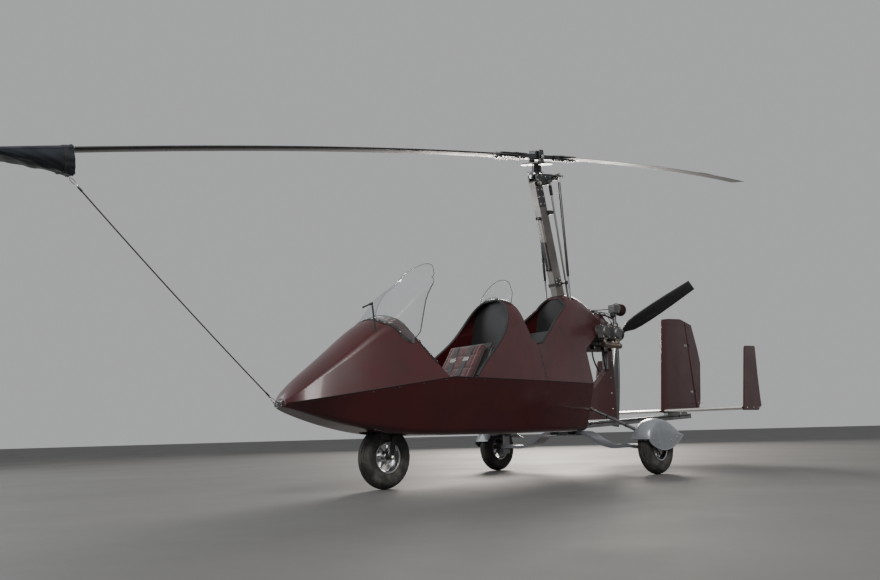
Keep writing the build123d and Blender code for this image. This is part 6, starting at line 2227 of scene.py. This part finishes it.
@dataclass
class Seat:
    """Cushion and backrest pad of one seat, filled by cloth simulation, with its harness.

    Attributes:
        name: first word of its pieces' names.
        front: front edge of the shell as (y, z).
        hip: hip of the shell as (y, z).
        top: top of the shell as (y, z).
        cap: farthest that cloth may swell.
        shrink: how far the copied solid stands in from its CAD one.
        voxel: size of the grid that the pad is meshed with.
        channel: depth of the sewn channels.
        frames: steps of the simulation.
    """

    name: str
    front: tuple[float, float]
    hip: tuple[float, float]
    top: tuple[float, float]
    cap: float = 0.007
    shrink: float = 0.007
    voxel: float = 0.006
    channel: float = 0.005
    frames: int = 20

    def strangers(self, bm: bmesh.types.BMesh, cushion: bool) -> list[bmesh.types.BMVert]:
        """Vertices of the other seat's pad: cushions by their place, backrests shell by shell."""
        is_front = self.front[0] < -1.0
        if cushion:
            return [v for v in bm.verts if (v.co.y > -0.8) == is_front]
        found: list[bmesh.types.BMVert] = []
        seen: set[bmesh.types.BMVert] = set()
        for start in bm.verts:
            if start in seen:
                continue
            shell, queue = {start}, [start]
            while queue:
                vert = queue.pop()
                near = {edge.other_vert(vert) for edge in vert.link_edges} - shell
                shell |= near
                queue += near
            seen |= shell
            if (sum(v.co.y for v in shell) / len(shell) < -0.75) != is_front:
                found += shell
        return found

    def pad(self, node: str, word: str, fill: float) -> Pad:
        """Copy this seat's half of a CAD pad, slightly smaller, and blow it up as cloth.

        Args:
            node: CAD node of both seats' pads.
            word: rest of the piece's name.
            fill: not used.

        Returns:
            The filled pad.
        """
        cushion = node == "seat_cushions"
        bm = bmesh.new()
        bm.from_mesh(frame["nodes"][node].data)
        bmesh.ops.delete(bm, geom=self.strangers(bm, cushion), context="VERTS")
        near, far = (self.front, self.hip) if cushion else (self.hip, self.top)
        rise = X_AXIS.cross(Vector((0, far[0] - near[0], far[1] - near[1])).normalized())
        spots = [v.co.copy() for v in bm.verts]
        place = axes(sum(spots, Vector()) / len(spots), X_AXIS, rise)
        back = place.inverted()
        local = [back @ p for p in spots]
        low = Vector([min(p[i] for p in local) for i in range(3)])
        high = Vector([max(p[i] for p in local) for i in range(3)])
        place = axes(place @ ((low + high) / 2), X_AXIS, rise)
        half = (high - low) / 2
        back = place.inverted()
        for v in bm.verts:
            p = back @ v.co
            v.co = place @ Vector([p[i] * (1 - self.shrink / half[i]) for i in range(3)])
        mesh = bpy.data.meshes.new(self.name + "_" + node)
        bmesh.ops.remove_doubles(bm, verts=bm.verts, dist=1e-5)
        bmesh.ops.recalc_face_normals(bm, faces=bm.faces)
        bm.to_mesh(mesh)
        bm.free()
        pad = dress(self.name + word, mesh, SEAT_CLOTH, smooth=80, replaces=[node])
        self.settle(pad, place, half)
        return Pad(Skin(pad.data), place, half)

    def shaped(self, pad: bpy.types.Object) -> bpy.types.Mesh:
        """Mesh that the pad's modifiers make of it, which are then taken off."""
        depsgraph = bpy.context.evaluated_depsgraph_get()
        mesh = bpy.data.meshes.new_from_object(pad.evaluated_get(depsgraph))
        pad.modifiers.clear()
        return mesh

    def blown(self, pad: bpy.types.Object) -> list[Vector]:
        """Places of the pad's vertices when it has been filled as cloth."""
        cloth = pad.modifiers.new("cloth", "CLOTH")
        cloth.settings.use_pressure = True
        cloth.settings.uniform_pressure_force = 4.0
        cloth.settings.effector_weights.gravity = 0.0
        cloth.settings.quality = 5
        cloth.point_cache.frame_start = 1
        cloth.point_cache.frame_end = self.frames
        for step in range(1, self.frames + 1):
            bpy.context.scene.frame_set(step)
        mesh = self.shaped(pad)
        ends = [v.co.copy() for v in mesh.vertices]
        bpy.data.meshes.remove(mesh)
        bpy.context.scene.frame_set(1)
        return ends

    def sewn(self, p: Vector, half: Vector) -> Vector:
        """Point in the pad's frame, with crown, channels and wrinkles on the upper half."""
        u, v = p.x / half.x, p.y / half.y
        if p.z > 0:
            crown = max(0.0, 1 - u**4) * max(0.0, 1 - v**4)
            p.z += 0.0035 * crown
            for line in (-0.5, 0.0, 0.5):
                gap = (p.y - line * half.y) / 0.009
                p.z -= self.channel * math.exp(-gap * gap) * max(0.0, 1 - u**8)
            for line in (-0.72, 0.72):
                gap = (p.x - line * half.x) / 0.008
                p.z -= self.channel * 0.8 * math.exp(-gap * gap) * max(0.0, 1 - v**8)
            wrinkle = 0.0007 * math.sin(p.x * 95 + p.y * 60) + 0.0006 * math.sin(p.x * 160 - p.y * 130)
            p.z += wrinkle * crown
        return p

    def settle(self, pad: bpy.types.Object, place: Matrix, half: Vector) -> None:
        """Remesh the pad, blow it up as cloth, cap its swell and sew its channels."""
        bpy.context.view_layer.objects.active = pad
        grid = pad.modifiers.new("grid", "REMESH")
        grid.mode = "VOXEL"
        grid.voxel_size = self.voxel
        fine = self.shaped(pad)
        pad.data = fine
        start = [v.co.copy() for v in fine.vertices]
        ends = self.blown(pad)
        back = place.inverted()
        for vert, old, new in zip(fine.vertices, start, ends):
            move = new - old
            if move.length > self.cap:
                move = move.normalized() * self.cap
            vert.co = place @ self.sewn(back @ (old + move), half)
        fine.polygons.foreach_set("use_smooth", [True] * len(fine.polygons))
        fine.materials.clear()
        fine.materials.append(SEAT_CLOTH.material())
        finer = pad.modifiers.new("finer", "SUBSURF")
        finer.levels = 1
        finer.render_levels = 1

    def belts(self, back: Pad, base: Pad) -> None:
        """Lay the shoulder and lap belts over the pads, with buckle and adjusters."""
        belts, metal = Kit(), Kit()
        off = turned(back.place, 0, 0, 1)
        for side in SIDES:
            line = [(side * (0.085 - 0.05 * t), back.half.y * (0.98 - 1.86 * t)) for t in shares(23)]
            path = back.belt(belts, line, 0.002, 9)
            metal.box((-0.026, -0.016, 0), (0.026, 0.016, 0.004), axes(path[7] + off * 0.0018, X_AXIS, off))
            line = [(side * (0.94 - 0.8 * t) * base.half.x, base.half.y * (0.55 - 0.2 * t))
                    for t in shares(19)]
            base.belt(belts, line, 0.0025, 7)
        buckle = [(0.002, 0.013), (0.014, 0.0135), (0.024, 0.011), (0.028, 0.006), (0.028, 0.001)]
        metal.lathe(buckle, base.drop(0, base.half.y * 0.35), turned(base.place, 0, 0, 1), 36)
        belts.piece(self.name + "_harness_belts", WEBBING, smooth=60)
        metal.piece(self.name + "_harness_buckles", BRIGHT_METAL, bevel=0.0008)

    def build(self) -> None:
        """Build the pads, then sew and belt them."""
        base = self.pad("seat_cushions", "_seat_cushion", 0.75)
        back = self.pad("seat_backrests", "_backrest_pad", 0.7)
        base.piping(self.name + "_cushion_piping")
        back.piping(self.name + "_backrest_piping")
        self.belts(back, base)


def dress_frame() -> None:
    """Give every CAD node that shows its finish."""
    for finish, nodes in CAD_FINISHES.items():
        for node in nodes:
            mesh = frame["nodes"][node].data
            made = finish.material()
            if mesh.materials:
                for place in range(len(mesh.materials)):
                    mesh.materials[place] = made
            else:
                mesh.materials.append(made)


def main() -> None:
    """Build the studio, then each sub-assembly in order."""
    logging.basicConfig(level=logging.INFO, format="%(message)s")
    Studio().build()
    dress_frame()
    wheels = (("nose", Rig.NOSE_WHEEL, "nose_wheel_spin", 0),
              ("left", Rig.LEFT_WHEEL, "left_wheel_spin", -1),
              ("right", Rig.RIGHT_WHEEL, "right_wheel_spin", 1))
    for name, rig, spin, inner in wheels:
        Wheel(name, rig, Vector(joint(spin)["pos_m"]), inner).build()
    BodyTrim().build()
    ScreenTrim("front_windscreen", "nose_cowl", ease=0.06).build()
    ScreenTrim("rear_windscreen", "mid_fairing", 0.006).build()
    seats = (Seat("front", (-1.6, 0.505), (-1.25, 0.455), (-0.9, 0.985)),
             Seat("rear", (-0.76, 0.52), (-0.4, 0.47), (-0.06, 1.15)))
    for assembly in (RotorBlades(), TipCover(), TieLine(), RotorHead(), MastDetails(), Engine(),
                     PropellerDetails(),
                     TailDetails(), GearDetails(), NoseDetails(), Cockpits(), *seats):
        assembly.build()


if __name__ == "__main__":
    main()
